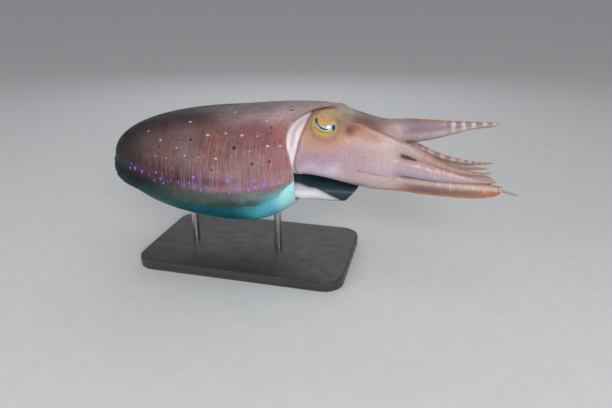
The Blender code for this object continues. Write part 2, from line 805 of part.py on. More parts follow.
def sucker(rows, number, side, x, row_side, size):
    """One sucker: a short cup on the oral face, its root sunk in the arm."""
    centre, across, deep, sideways, out = arm_frame(rows, ARMS_RIGHT[number]["outer"], x, side)
    reach = 0.42 * across * row_side
    sink = deep * (1 - abs(reach / across) ** ARM_POWER_ORAL) ** (1 / ARM_POWER_ORAL)
    foot = centre + sideways * reach - out * sink
    aim = -out + sideways * 0.25 * row_side
    aim /= np.linalg.norm(aim)
    along = np.cross(aim, sideways)
    along /= np.linalg.norm(along)
    across_aim = np.cross(along, aim)
    rings = []
    for height, radius in ((-0.6 * size, 0.70 * size), (1.0, 1.0 * size)):
        lift = height if height < 0 else height * SUCKER_HEIGHT * size / SUCKER_RADIUS
        ring_points = []
        for k in range(SUCKER_SIDES):
            a = 2 * math.pi * k / SUCKER_SIDES
            spoke = along * math.cos(a) + across_aim * math.sin(a)
            ring_points.append(tuple(foot + aim * lift + spoke * radius))
        rings.append(ring_points)
    return add_object("sucker", *loft(rings))


def make_arm(number, side, made_of):
    name = f"arm_{'right' if side < 0 else 'left'}_{number}"
    arm = add_object(name, *loft(arm_rings(number, side, 13, 12)))
    rows = arm_rows(number, side)
    tip = rows[-1][0]
    cups = []
    for k in range(SUCKER_PAIRS):
        share = k / (SUCKER_PAIRS - 1)
        x = SUCKER_FIRST_X + (tip - 0.012 - SUCKER_FIRST_X) * share**0.9
        size = SUCKER_RADIUS * (1 - 0.62 * share)
        for row_side in (-1, 1):
            cups.append(sucker(rows, number, side, x + 0.003 * row_side, row_side, size))
    boolean(arm, cups, "UNION")
    neighbours = [arm_cutter(number - 1, side)] if number > 1 else []
    for cutter in [head_cutter(), *neighbours]:
        boolean(arm, [cutter], "DIFFERENCE")
    return finish(arm, made_of)


def make_tentacle(side, made_of):
    name = f"tentacle_{'right' if side < 0 else 'left'}"
    first, last = TENTACLE_RIGHT[0][0], TENTACLE_RIGHT[-1][0]
    scale = 1.0 if side < 0 else TENTACLE_LEFT_SHORTER
    rings = []
    for i in range(12):
        x = first + (last - first) * i / 11
        y, z, radius = smooth_rows(TENTACLE_RIGHT, x)[0]
        x = first + (x - first) * scale
        rings.append(
            [
                (x, -side * y + radius * math.cos(a), z + radius * math.sin(a))
                for a in (2 * math.pi * k / 8 for k in range(8))
            ]
        )
    tentacle = add_object(name, *loft(rings))
    boolean(tentacle, [head_cutter()], "DIFFERENCE")
    return finish(tentacle, made_of)


# Funnel.


def funnel_ring(x, inset, count=24):
    """A ring of the funnel, sheared more and more towards the slanted mouth."""
    half_width, middle, half_height = smooth_rows(FUNNEL_ROWS, x)[0]
    slanting = FUNNEL_ROWS[3][0]
    shear = FUNNEL_SLANT * max(0.0, (x - slanting) / (FUNNEL_ROWS[-1][0] - slanting)) ** 1.6
    points = []
    for k in range(count):
        a = 2 * math.pi * k / count
        y = (half_width - inset) * math.cos(a)
        rise = (half_height - inset) * math.sin(a)
        points.append((x + shear * rise, *inside_mantle(x, y, middle + rise)))
    return points


def make_funnel(made_of):
    mouth = FUNNEL_ROWS[-1][0]
    xs = (0.0653, 0.084, 0.098, 0.108, 0.117, 0.128, 0.142, 0.158, 0.174, 0.188, mouth)
    outside = [funnel_ring(x, 0.0) for x in xs]
    inside = [funnel_ring(mouth, FUNNEL_WALL), funnel_ring(mouth - FUNNEL_BORE, FUNNEL_WALL * 1.5)]
    funnel = add_object("funnel", *loft(outside + inside))
    boolean(funnel, [head_cutter()], "DIFFERENCE")
    return finish(funnel, made_of)


# Stand.


def make_base(made_of):
    """A flat plate with round corners and eased edges, standing on z = 0."""
    bm = bmesh.new()
    bmesh.ops.create_cube(bm, size=1.0)
    bmesh.ops.scale(bm, vec=(BASE_LENGTH, BASE_WIDTH, BASE_THICKNESS), verts=bm.verts)
    bmesh.ops.translate(bm, vec=(0, 0, BASE_THICKNESS / 2), verts=bm.verts)
    upright = [e for e in bm.edges if abs(e.verts[0].co.z - e.verts[1].co.z) > BASE_THICKNESS / 2]
    bmesh.ops.bevel(bm, geom=upright, offset=BASE_CORNER, segments=5, affect="EDGES", profile=0.5)
    top = [e for e in bm.edges if all(v.co.z > BASE_THICKNESS * 0.9 for v in e.verts)]
    bmesh.ops.bevel(bm, geom=top, offset=BASE_EDGE, segments=2, affect="EDGES", profile=0.5)
    mesh = bpy.data.meshes.new("stand_base")
    bm.to_mesh(mesh)
    bm.free()
    base = bpy.data.objects.new("stand_base", mesh)
    bpy.context.scene.collection.objects.link(base)
    tidy(base)
    return finish(base, made_of)


def make_rod(name, x, made_of):
    """A round rod from just over the base up to the belly, cut to the belly's shape."""
    bottom = BASE_THICKNESS + GAP
    belly = BODY_LIFT + fin_line(x) - mantle_down(x)
    length = belly + ROD_SINK - bottom
    bm = bmesh.new()
    bmesh.ops.create_cone(
        bm, cap_ends=True, segments=20, radius1=ROD_RADIUS, radius2=ROD_RADIUS, depth=length
    )
    bmesh.ops.translate(bm, vec=(x + BODY_SHIFT_X, 0, bottom + length / 2), verts=bm.verts)
    mesh = bpy.data.meshes.new(name)
    bm.to_mesh(mesh)
    bm.free()
    rod = bpy.data.objects.new(name, mesh)
    bpy.context.scene.collection.objects.link(rod)
    boolean(rod, [mantle_cutter()], "DIFFERENCE")
    return finish(rod, made_of)


def main():
    for old in list(bpy.data.objects):
        bpy.data.objects.remove(old)
    mantle_skin = material("mantle_skin", (0.42, 0.20, 0.18), 0.45)
    fin_skin = material("fin_skin", (0.33, 0.32, 0.22), 0.4)
    head_skin = material("head_skin", (0.62, 0.44, 0.40), 0.4)
    arm_skin = material("arm_skin", (0.63, 0.42, 0.36), 0.4)
    pale_skin = material("pale_skin", (0.78, 0.76, 0.78), 0.35)
    eye = material("eye", (0.55, 0.50, 0.12), 0.12)
    steel = material("steel", (0.60, 0.60, 0.61), 0.3, 1.0)
    board = material("board", (0.05, 0.05, 0.055), 0.5)

    make_mantle(mantle_skin)
    make_fin("fin_right", 1, fin_skin)
    make_fin("fin_left", -1, fin_skin)
    make_head(head_skin)
    for side, name in ((-1, "eye_right"), (1, "eye_left")):
        finish(make_eyeball(name, side), eye)
    for side in (-1, 1):
        for number in (1, 2, 3, 4):
            make_arm(number, side, arm_skin)
        make_tentacle(side, pale_skin)
    make_funnel(pale_skin)
    make_base(board)
    for name, x in ROD_X.items():
        make_rod(name, x, steel)


main()
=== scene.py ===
"""The looks of the broadclub cuttlefish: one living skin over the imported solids, in a plain studio."""

import math

import bmesh
import bpy
import numpy as np
from mathutils import Matrix, Vector


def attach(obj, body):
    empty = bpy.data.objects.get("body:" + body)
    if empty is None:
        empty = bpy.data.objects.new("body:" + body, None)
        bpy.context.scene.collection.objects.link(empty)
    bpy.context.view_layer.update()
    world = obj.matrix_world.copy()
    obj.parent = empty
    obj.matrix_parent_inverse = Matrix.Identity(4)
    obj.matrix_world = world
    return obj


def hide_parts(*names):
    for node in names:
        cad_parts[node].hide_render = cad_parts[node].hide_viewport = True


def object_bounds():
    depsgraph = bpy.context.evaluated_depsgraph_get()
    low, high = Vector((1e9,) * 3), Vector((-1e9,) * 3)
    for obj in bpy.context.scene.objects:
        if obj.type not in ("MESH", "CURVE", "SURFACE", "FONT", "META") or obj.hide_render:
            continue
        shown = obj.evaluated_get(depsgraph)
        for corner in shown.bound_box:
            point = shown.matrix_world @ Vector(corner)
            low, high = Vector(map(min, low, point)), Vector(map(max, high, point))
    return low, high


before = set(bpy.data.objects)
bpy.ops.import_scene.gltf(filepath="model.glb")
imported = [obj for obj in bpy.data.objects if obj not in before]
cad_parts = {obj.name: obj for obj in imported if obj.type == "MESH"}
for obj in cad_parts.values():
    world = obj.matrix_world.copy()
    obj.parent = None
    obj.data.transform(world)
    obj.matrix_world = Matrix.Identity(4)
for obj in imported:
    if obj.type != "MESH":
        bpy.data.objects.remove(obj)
CAD_LOW, CAD_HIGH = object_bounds()

# Where the body's own frame lies over the base, as in the part.
SHIFT = np.array([-0.030, 0.0, 0.214])
BOX_LOW, BOX_HIGH = np.array(CAD_LOW) + 0.0002, np.array(CAD_HIGH) - 0.0002

# Mantle and fins, as in the part.
TAIL_X = -0.2055
WIDEST_X = 0.050
HALF_WIDTH = 0.100
BACK_HEIGHT = 0.108
BELLY_DEPTH = 0.071
FIN_LINE_Z = -0.068
FIN_LINE_RISE_FRONT = 1.2
FIN_LINE_RISE_TAIL = 0.33
POWER = 2.3
TAIL_FAN = 0.050
LOBE_X = 0.172
RIM_ROWS = (
    (-90, 0.1120),
    (-52, 0.1180),
    (-20, 0.1225),
    (0, 0.1225),
    (15, 0.1175),
    (32, 0.1105),
    (45, 0.1105),
    (58, 0.1175),
    (70, 0.1315),
    (79, 0.1460),
    (85, 0.1600),
    (90, 0.1720),
)
RIM_SIDE_X = 0.1195
BACK_RISE = 0.0072
WALL = 0.0065
LOBE_WALL = 0.0042
RECESS_X = 0.065
RECESS_WALL = 0.012
FIN_ROOT_HALF = 0.0022
FIN_EDGE = 0.0012
FIN_WIDTH = 0.028
FIN_TAIL_WIDTH = 0.0075
FIN_STEPS = 5
RUFFLE = 0.0009
LIP_ROUND = 0.002
# Rings ahead of and behind the widest place, and rows of each part, in the mantle's mesh.
FRONT_RINGS, FAN_RINGS = 96, 224
UP_ROWS, FIN_ROWS, DOWN_ROWS = 118, 24, 72
PART_STATIONS = [1.0, 0.86, 0.66, 0.44, 0.22, 0.0]
PART_STATIONS += [-math.radians(a) for a in (8, 17, 26, 35, 44, 52, 60, 67, 74, 80, 85)]

# Head, as in the part.
HEAD_ROWS = (
    (0.0653, 0.090, 0.040, -0.056),
    (0.095, 0.084, 0.042, -0.056),
    (0.110, 0.0770, 0.0420, -0.056),
    (0.121, 0.0740, 0.0405, -0.057),
    (0.131, 0.0640, 0.0410, -0.058),
    (0.150, 0.0610, 0.0440, -0.060),
    (0.175, 0.0590, 0.0435, -0.0645),
    (0.200, 0.0550, 0.0380, -0.0700),
    (0.225, 0.0490, 0.0320, -0.0745),
    (0.245, 0.0455, 0.0285, -0.0755),
)
HEAD_FRONT_X = 0.272
HEAD_POWER = 2.35
NECK_ROOM = 0.0022
EYE_CENTRE = (0.1650, 0.0555, 0.0232)
EYE_ROLL = 0.0026
EYE_TILT = math.radians(14)
EYE_MOUND = 0.0045
EYE_MOUND_WIDTH = 0.024

# Arms, as in the part: rows of x, y, z, side half width and outer half depth.
ARM_POWER_OUTER = 1.7
ARM_POWER_ORAL = 2.6
ARM_OUTER = {1: (0.0, -0.12, 1.0), 2: (0.0, -1.0, 0.30), 3: (0.0, -1.0, -0.30), 4: (0.0, -0.35, -1.0)}
ARM_ROWS = {
    1: (
        (0.225, -0.0098, 0.0080, 0.0085, 0.0190),
        (0.255, -0.0096, 0.0125, 0.0082, 0.0172),
        (0.285, -0.0092, 0.0169, 0.0076, 0.0159),
        (0.312, -0.0088, 0.0210, 0.0065, 0.0135),
        (0.340, -0.0084, 0.0258, 0.0050, 0.0094),
        (0.368, -0.0080, 0.0304, 0.0034, 0.0048),
        (0.390, -0.0076, 0.0331, 0.0020, 0.0024),
        (0.405, -0.0072, 0.0332, 0.0009, 0.0009),
    ),
    2: (
        (0.225, -0.0285, 0.0070, 0.0115, 0.0100),
        (0.255, -0.0285, 0.0010, 0.0100, 0.0098),
        (0.290, -0.0300, -0.0095, 0.0084, 0.0090),
        (0.317, -0.0310, -0.0205, 0.0062, 0.0074),
        (0.342, -0.0320, -0.0280, 0.0047, 0.0056),
        (0.366, -0.0325, -0.0320, 0.0033, 0.0038),
        (0.384, -0.0325, -0.0322, 0.0020, 0.0022),
        (0.397, -0.0320, -0.0300, 0.0009, 0.0009),
    ),
    3: (
        (0.225, -0.0335, -0.0275, 0.0170, 0.0100),
        (0.255, -0.0330, -0.0295, 0.0162, 0.0098),
        (0.290, -0.0320, -0.0336, 0.0137, 0.0088),
        (0.317, -0.0310, -0.0385, 0.0109, 0.0074),
        (0.343, -0.0300, -0.0417, 0.0080, 0.0058),
        (0.368, -0.0290, -0.0440, 0.0048, 0.0040),
        (0.390, -0.0285, -0.0450, 0.0024, 0.0022),
        (0.406, -0.0280, -0.0445, 0.0009, 0.0009),
    ),
    4: (
        (0.225, -0.0190, -0.0580, 0.0110, 0.0150),
        (0.255, -0.0192, -0.0597, 0.0110, 0.0138),
        (0.295, -0.0192, -0.0608, 0.0100, 0.0132),
        (0.335, -0.0192, -0.0618, 0.0080, 0.0130),
        (0.370, -0.0190, -0.0625, 0.0064, 0.0120),
        (0.395, -0.0190, -0.0618, 0.0050, 0.0098),
        (0.408, -0.0190, -0.0612, 0.0036, 0.0064),
        (0.4145, -0.0190, -0.0606, 0.0014, 0.0022),
    ),
}
LEFT_SHIFT = {1: (-0.001, -0.007, -0.006), 3: (0.001, 0.0005, -0.006), 4: (0.001, 0.001, -0.006)}
LEFT_ARM_2 = (
    (0.225, 0.0285, 0.0070, 0.0115, 0.0100),
    (0.255, 0.0285, -0.0010, 0.0100, 0.0096),
    (0.285, 0.0290, -0.0160, 0.0082, 0.0082),
    (0.305, 0.0295, -0.0235, 0.0068, 0.0072),
    (0.325, 0.0300, -0.0302, 0.0056, 0.0062),
    (0.350, 0.0300, -0.0350, 0.0042, 0.0048),
    (0.375, 0.0300, -0.0366, 0.0028, 0.0032),
    (0.392, 0.0300, -0.0360, 0.0017, 0.0019),
    (0.405, 0.0300, -0.0345, 0.0009, 0.0009),
)
TENTACLE_ROWS = (
    (0.262, -0.0090, -0.0330, 0.0040),
    (0.300, -0.0075, -0.0420, 0.0038),
    (0.345, -0.0068, -0.0510, 0.0034),
    (0.385, -0.0068, -0.0575, 0.0028),
    (0.412, -0.0090, -0.0625, 0.0019),
    (0.438, -0.0150, -0.0665, 0.0008),
)
TENTACLE_LEFT_SHORTER = 0.90
SUCKER_FIRST_X = 0.262

# Funnel, as in the part.
FUNNEL_ROWS = (
    (0.0653, 0.088, -0.0830, 0.0460),
    (0.092, 0.082, -0.0790, 0.0340),
    (0.108, 0.068, -0.0750, 0.0225),
    (0.122, 0.051, -0.0801, 0.0196),
    (0.145, 0.035, -0.0835, 0.0180),
    (0.175, 0.0235, -0.0875, 0.0160),
    (0.198, 0.0185, -0.0890, 0.0140),
)
FUNNEL_SLANT = 0.85
FUNNEL_WALL = 0.0025
FUNNEL_BORE = 0.030


def smooth_rows(rows, at):
    """Reads a table of rows, first column rising, along one smooth curve through its points."""
    table = np.array(rows, float)
    xs, ys = table[:, 0], table[:, 1:]
    slopes = np.gradient(ys, xs, axis=0)
    at = np.clip(np.atleast_1d(np.asarray(at, float)), xs[0], xs[-1])
    k = np.clip(np.searchsorted(xs, at) - 1, 0, len(xs) - 2)
    step = (xs[k + 1] - xs[k])[:, None]
    t = (at - xs[k])[:, None] / step
    h00 = 2 * t**3 - 3 * t**2 + 1
    h10 = t**3 - 2 * t**2 + t
    h01 = -2 * t**3 + 3 * t**2
    h11 = t**3 - t**2
    return h00 * ys[k] + h10 * step * slopes[k] + h01 * ys[k + 1] + h11 * step * slopes[k + 1]


def smooth(value, low, high):
    """0 below low, 1 above high, easing between."""
    t = np.clip((value - low) / (high - low), 0, 1)
    return t * t * (3 - 2 * t)


def bump(value, centre, width):
    """1 at centre, falling to 0 a few widths off."""
    return np.exp(-(((value - centre) / width) ** 2))


def blend(a, b, share):
    """Mixes two colours or arrays of colours by an array of shares."""
    share = np.asarray(share)[..., None]
    return np.asarray(a) * (1 - share) + np.asarray(b) * share


def layered(colour, *layers):
    """Lays tones over a colour one after another, each with its array of shares."""
    for tone, share in layers:
        colour = blend(colour, tone, share)
    return colour


def value_noise(points, size, seed):
    """Smooth noise from -1 to 1 with cells of that size, the same on every run."""
    grid = np.random.default_rng(seed).uniform(-1, 1, (32, 32, 32))
    q = points / size + 100.0
    base = np.floor(q).astype(int)
    t = q - base
    t = t * t * (3 - 2 * t)
    total = np.zeros(len(points))
    for dx in (0, 1):
        for dy in (0, 1):
            for dz in (0, 1):
                weight = (t[:, 0] if dx else 1 - t[:, 0]) * (t[:, 1] if dy else 1 - t[:, 1])
                weight = weight * (t[:, 2] if dz else 1 - t[:, 2])
                total += weight * grid[(base[:, 0] + dx) % 32, (base[:, 1] + dy) % 32, (base[:, 2] + dz) % 32]
    return total


# Shape of the mantle.


def fin_line(x):
    return FIN_LINE_Z + np.where(x > 0, FIN_LINE_RISE_FRONT, FIN_LINE_RISE_TAIL) * x * x


def tail_share(x):
    return np.clip((WIDEST_X - x) / (WIDEST_X - TAIL_X), 0, 1)


def mantle_half_width(x):
    rear = HALF_WIDTH * np.sqrt(np.maximum(0, 1 - tail_share(x) ** 2))
    return np.where(x < WIDEST_X, rear, HALF_WIDTH - 3.8 * (x - WIDEST_X) ** 2)


def mantle_up(x):
    rear = BACK_HEIGHT * np.sqrt(np.maximum(0, 1 - tail_share(x) ** 2))
    rise = BACK_RISE * (1 - ((LOBE_X - x) / (LOBE_X - WIDEST_X)) ** 2)
    return np.where(x < WIDEST_X, rear, BACK_HEIGHT + fin_line(WIDEST_X) + rise - fin_line(x))


def mantle_down(x):
    rear = BELLY_DEPTH * np.sqrt(np.maximum(0, 1 - tail_share(x) ** 3))
    ahead = x - WIDEST_X
    belly = fin_line(WIDEST_X) - BELLY_DEPTH + 0.12 * ahead + 5.6 * ahead * ahead
    return np.where(x < WIDEST_X, rear, fin_line(x) - belly)


def mantle_surface(x, y, upper):
    share = np.minimum(1.0, np.abs(y) / np.maximum(1e-9, mantle_half_width(x)))
    rise = np.maximum(0.0, 1 - share**POWER) ** (1 / POWER)
    height = mantle_up(x) if upper else -mantle_down(x)
    return np.stack([x, y, fin_line(x) + height * rise], -1)


def rim_x(angle):
    return smooth_rows(RIM_ROWS, np.degrees(np.ravel(angle)))[:, 0].reshape(np.shape(angle))


def fan(station):
    """A turned section's point on the axis and on the outline. station is minus the angle it has turned."""
    turn = -station
    length = WIDEST_X - TAIL_X
    axis_x = WIDEST_X - (length - TAIL_FAN) * np.sin(turn)
    return axis_x, WIDEST_X - length * np.sin(turn), -HALF_WIDTH * np.cos(turn)


def section_points(station, angle, upper):
    """Points of the right half of the mantle for a station and an angle (0 at the fin line) each."""
    station, angle = np.broadcast_arrays(np.asarray(station, float), np.asarray(angle, float))
    reach = np.abs(np.cos(angle)) ** (2 / POWER)
    front_x = WIDEST_X + (rim_x(angle) - WIDEST_X) * np.maximum(station, 0)
    front = mantle_surface(front_x, -mantle_half_width(front_x) * reach, upper)
    axis_x, edge_x, edge_y = fan(np.minimum(station, 0))
    rear = mantle_surface(axis_x + (edge_x - axis_x) * reach, edge_y * reach, upper)
    return np.where((station >= 0)[..., None], front, rear)


def root_angle(stations, upper):
    """The angle at which each section is FIN_ROOT_HALF off the fin line, found by halving."""
    low, high = np.zeros(len(stations)), np.full(len(stations), math.pi / 4)
    sign = 1 if upper else -1
    for _ in range(40):
        middle = (low + high) / 2
        p = section_points(stations, sign * middle, upper)
        above = np.abs(p[:, 2] - fin_line(p[:, 0])) > FIN_ROOT_HALF
        high = np.where(above, middle, high)
        low = np.where(above, low, middle)
    return low


def outward(stations):
    axis_x, edge_x, edge_y = fan(np.minimum(stations, 0))
    direction = np.stack([edge_x - axis_x, edge_y, 0 * edge_x], -1)
    direction[stations >= 0] = (0, -1, 0)
    return direction / np.linalg.norm(direction, axis=1)[:, None]


def fin_points(stations, top, bottom):
    """Upper and lower sides of the right fin from root to edge, and the edge itself."""
    order = np.argsort(PART_STATIONS)
    along = smooth_rows(np.stack([np.array(PART_STATIONS)[order], order], 1), stations)[:, 0]
    along = np.clip(along / (len(PART_STATIONS) - 1), 0, 1)
    out, up = outward(stations), np.array([0.0, 0.0, 1.0])
    centre = (top + bottom) / 2
    opening = np.sin(np.minimum(1.0, along / 0.22) * math.pi / 2)
    closing = np.sin(np.minimum(1.0, (1 - along) / 0.10) * math.pi / 2)
    width = FIN_WIDTH + (FIN_TAIL_WIDTH - FIN_WIDTH) * np.maximum(0.0, (along - 0.35) / 0.65) ** 1.5
    width = (width - 0.0007) * (0.08 + 0.92 * opening) * (0.30 + 0.70 * closing)
    width = width * (0.22 + 0.78 * smooth(stations, -math.radians(86), -math.radians(46)))
    fade = smooth(stations, -math.radians(89.7), -math.radians(85)) * smooth(-stations, -1.0, -0.96)
    spread = np.minimum(1.0, width / 0.018)
    wave = math.radians(7) * np.sin(along * 5 * math.pi)
    hang = math.radians(46) * smooth(-stations, math.radians(46), math.radians(84))

    def directions(q):
        """The way outward along the fin at a share of its width, and the fin's normal there."""
        droop = (np.radians(10 + 36 * q + 14 * along) + wave * q) * (0.35 + 0.65 * spread) + hang
        c, s = np.cos(droop)[:, None], np.sin(droop)[:, None]
        return out * c - up * s, out * s + up * c

    skeleton = [centre]
    for k in range(1, FIN_STEPS + 1):
        forward, _ = directions(k / FIN_STEPS)
        skeleton.append(skeleton[-1] + forward * (width * fade / FIN_STEPS)[:, None])
    shares = np.linspace(0, 1, FIN_STEPS + 1)[:, None]
    table = np.concatenate([shares, np.array(skeleton).reshape(FIN_STEPS + 1, -1)], 1)
    qs = np.linspace(0, 1, FIN_ROWS + 1)[1:]
    middle = smooth_rows(table, qs).reshape(FIN_ROWS, -1, 3)
    # fine ruffles that grow towards the edge
    metres = np.cumsum(np.r_[0, np.linalg.norm(np.diff(centre, axis=0), axis=1)])
    ruffle = np.sin(metres / 0.0265 * 2 * math.pi) + 0.5 * np.sin(metres / 0.0143 * 2 * math.pi + 1.0)
    uppers, lowers = [], []
    for q, m in zip(qs, middle):
        _, normal = directions(q)
        thick = FIN_EDGE / 2 + (FIN_ROOT_HALF - FIN_EDGE / 2) * (1 - q ** (1.0 - 0.4 * spread))
        half = normal * (thick * (0.05 + 0.95 * fade))[:, None]
        m = m + normal * (ruffle * RUFFLE * q**2 * spread * fade)[:, None]
        uppers.append(m + half)
        lowers.append(m - half)
    forward, _ = directions(1.0)
    edge = (uppers[-1] + lowers[-1]) / 2 + forward * (FIN_EDGE * 0.45 * fade)[:, None]
    return uppers, lowers, edge


def opening_wall(x, front):
    """Thickness of the mantle's wall inside its opening, from the recess to the rim."""
    over_head = np.maximum(0.0, (front - RIM_SIDE_X) / (LOBE_X - RIM_SIDE_X))
    at_rim = WALL + (LOBE_WALL - WALL) * over_head
    share = np.clip((x - RECESS_X) / (front - RECESS_X), 0, 1)
    return RECESS_WALL + (at_rim - RECESS_WALL) * share


def mantle_grid():
    """Rings of the mantle and fins as one sheet, from the lip back to the tail.

    Returns points (rings, rows, 3) of the right half, how deep in the opening each ring lies, and each
    row's part (0 mantle above, 1 fin above, 2 fin below, 3 mantle below) with its place in that part.
    """
    turned = -np.radians(90 * np.linspace(0, 1, FAN_RINGS))
    stations = np.concatenate([np.linspace(1, 0, FRONT_RINGS, endpoint=False), turned])
    top_angle, bottom_angle = root_angle(stations, True), root_angle(stations, False)
    half_turn = math.pi / 2
    ups, downs = np.linspace(0, 1, UP_ROWS), np.linspace(0, 1, DOWN_ROWS)
    above = [section_points(stations, half_turn + (top_angle - half_turn) * t, True) for t in ups]
    below = [section_points(stations, -(bottom_angle + (half_turn - bottom_angle) * t), False) for t in downs]
    uppers, lowers, edge = fin_points(stations, above[-1], below[0])
    points = np.stack([*above, *uppers, edge, *lowers[::-1], *below], 1)
    places = np.arange(1, FIN_ROWS + 1) / FIN_ROWS
    kinds = [(0, t) for t in ups] + [(1, t) for t in places] + [(1, 1.02)]
    kinds = np.array(kinds + [(2, t) for t in places[::-1]] + [(3, t) for t in downs])
    # a soft crease where the fin meets the body
    row = np.arange(len(kinds))
    near = np.maximum(bump(row, UP_ROWS - 1, 3.0), bump(row, UP_ROWS + 2 * FIN_ROWS + 1, 3.0))
    for _ in range(14):
        mean = (points[:, :-2] + points[:, 2:]) / 2
        points[:, 1:-1] += (mean - points[:, 1:-1]) * (0.8 * near[1:-1])[None, :, None]
    # inside of the opening, and the rounded lip
    part, t = kinds.T
    angles = np.select([part == 0, part == 3], [half_turn * (1 - t), -half_turn * t], 0.0)

    def outside(station):
        sides = section_points(station, np.abs(angles), True), section_points(station, angles, False)
        return np.where((angles >= 0)[:, None], *sides)

    rim = outside(1.0)[:, 0]

    def inner(share, wall_share, push):
        x = RECESS_X + (rim - RECESS_X) * share
        p = outside(np.clip((x - WIDEST_X) / (rim - WIDEST_X), 0, 1))
        middle = np.stack([x, 0 * x, fin_line(x) + (mantle_up(x) - mantle_down(x)) / 2], -1)
        inward = middle - p
        inward /= np.linalg.norm(inward, axis=1)[:, None]
        q = p + inward * (opening_wall(x, rim) * wall_share)[:, None]
        q[:, 0] = x + push
        return q

    lip = [inner(share, 1.0, 0.0) for share in np.linspace(0.03, 1, 16)]
    for turn in np.linspace(math.pi, 0, 9)[1:-1]:
        lip.append(inner(1.0, (1 - math.cos(turn)) / 2, LIP_ROUND * math.sin(turn)))
    inside = np.concatenate([np.linspace(1, 0.1, len(lip)), np.zeros(len(stations))])
    return np.concatenate([lip, points]), inside, kinds


def mirror_grid(points):
    """A full ring grid from its right half. The first and last rows lie on the middle plane."""
    return np.concatenate([points, points[:, -2:0:-1] * (1, -1, 1)], 1)


def grid_faces(rings, rows, first=0):
    """Four-sided faces between closed rings of points."""
    i, j = np.meshgrid(np.arange(rings - 1), np.arange(rows), indexing="ij")
    a = first + i * rows + j
    b = first + i * rows + (j + 1) % rows
    return np.stack([a, b, b + rows, a + rows], -1).reshape(-1, 4)


def in_box(points):
    """Points moved from the body's frame to the base's, kept just inside the box of the solids."""
    return np.clip(points + SHIFT, BOX_LOW, BOX_HIGH)


def link_new(name, data):
    obj = bpy.data.objects.new(name, data)
    bpy.context.scene.collection.objects.link(obj)
    return obj


def new_mesh(name, points, faces):
    """A smooth-shaded object from points in the body's frame."""
    mesh = bpy.data.meshes.new(name)
    mesh.from_pydata(in_box(np.asarray(points)).tolist(), [], [list(f) for f in faces])
    mesh.shade_smooth()
    return link_new(name, mesh)


def write_points(obj, points):
    obj.data.vertices.foreach_set("co", in_box(points).astype(np.float32).ravel())
    obj.data.update()


def read_vectors(obj, field):
    values = np.zeros(len(obj.data.vertices) * 3, np.float32)
    obj.data.vertices.foreach_get(field, values)
    return values.reshape(-1, 3)


def set_attribute(obj, name, kind, field, values):
    layer = obj.data.attributes.new(name, kind, "POINT")
    layer.data.foreach_set(field, np.asarray(values, np.float32).ravel())


def set_colour(obj, name, colours):
    full = np.column_stack([np.clip(colours, 0, 1), np.ones(len(colours))])
    set_attribute(obj, name, "FLOAT_COLOR", "color", full)


def set_vector(obj, name, vectors):
    set_attribute(obj, name, "FLOAT_VECTOR", "vector", vectors)


def set_value(obj, name, values):
    set_attribute(obj, name, "FLOAT", "value", values)


def change_mesh(obj, change):
    """Runs a change on the object's mesh."""
    bm = bmesh.new()
    bm.from_mesh(obj.data)
    change(bm)
    bm.to_mesh(obj.data)
    bm.free()


def turn_outward(bm):
    bmesh.ops.recalc_face_normals(bm, faces=bm.faces)


def finish_mesh(obj, distance):
    """Joins points that coincide, closes open ends and turns faces out."""

    def close(bm):
        bmesh.ops.remove_doubles(bm, verts=bm.verts, dist=distance)
        bmesh.ops.dissolve_degenerate(bm, edges=bm.edges, dist=distance / 4)
        open_edges = [e for e in bm.edges if e.is_boundary]
        if open_edges:
            bmesh.ops.holes_fill(bm, edges=open_edges)
        turn_outward(bm)

    change_mesh(obj, close)
    obj.data.shade_smooth()


# Materials.


class Nodes:
    """Short ways to build one material's node tree."""

    def __init__(self, name):
        self.material = bpy.data.materials.new(name)
        self.material.use_nodes = True
        self.tree = self.material.node_tree
        self.shader = self.tree.nodes["Principled BSDF"]

    def link(self, source, target):
        """Links another node's output, or sets a number, colour or vector."""
        if isinstance(source, (int, float)):
            target.default_value = source
        elif isinstance(source, tuple):
            target.default_value = (*source, 1.0) if target.type == "RGBA" else source
        else:
            self.tree.links.new(source, target)

    def add(self, kind, output, inputs, **settings):
        """Adds a node with its settings and inputs, and returns one of its outputs."""
        made = self.tree.nodes.new("ShaderNode" + kind)
        for key, value in settings.items():
            setattr(made, key, value)
        for key, value in inputs.items():
            self.link(value, made.inputs[key])
        return made.outputs[output]

    def attribute(self, name, output="Fac"):
        return self.add("Attribute", output, {}, attribute_name=name)

    def position(self):
        return self.add("TexCoord", "Object", {})

    def stretch(self, vector, scale):
        return self.add("Mapping", "Vector", {"Vector": vector, "Scale": scale})

    def noise(self, vector, scale, detail=3.0, roughness=0.5, distortion=0.0):
        inputs = {"Vector": vector, "Scale": scale, "Detail": detail}
        inputs |= {"Roughness": roughness, "Distortion": distortion}
        return self.add("TexNoise", "Fac", inputs)

    def cells(self, vector, scale):
        return self.add("TexVoronoi", "Distance", {"Vector": vector, "Scale": scale})

    def math(self, operation, a, b):
        return self.add("Math", 0, {0: a, 1: b}, operation=operation)

    def times(self, a, b):
        return self.math("MULTIPLY", a, b)

    def range(self, value, low, high, to_low=0.0, to_high=1.0):
        """to_low up to low, to_high from high on, easing between."""
        inputs = dict(enumerate((value, low, high, to_low, to_high)))
        return self.add("MapRange", 0, inputs, interpolation_type="SMOOTHSTEP")

    def mix(self, share, a, b, mode="MIX"):
        return self.add("Mix", 2, {0: share, 6: a, 7: b}, data_type="RGBA", blend_type=mode)

    def bump(self, height, strength, distance, normal=None):
        inputs = {"Strength": strength, "Distance": distance, "Height": height}
        if normal is not None:
            inputs["Normal"] = normal
        return self.add("Bump", "Normal", inputs)

    def set(self, **sockets):
        for key, value in sockets.items():
            self.link(value, self.shader.inputs[key.replace("_", " ")])


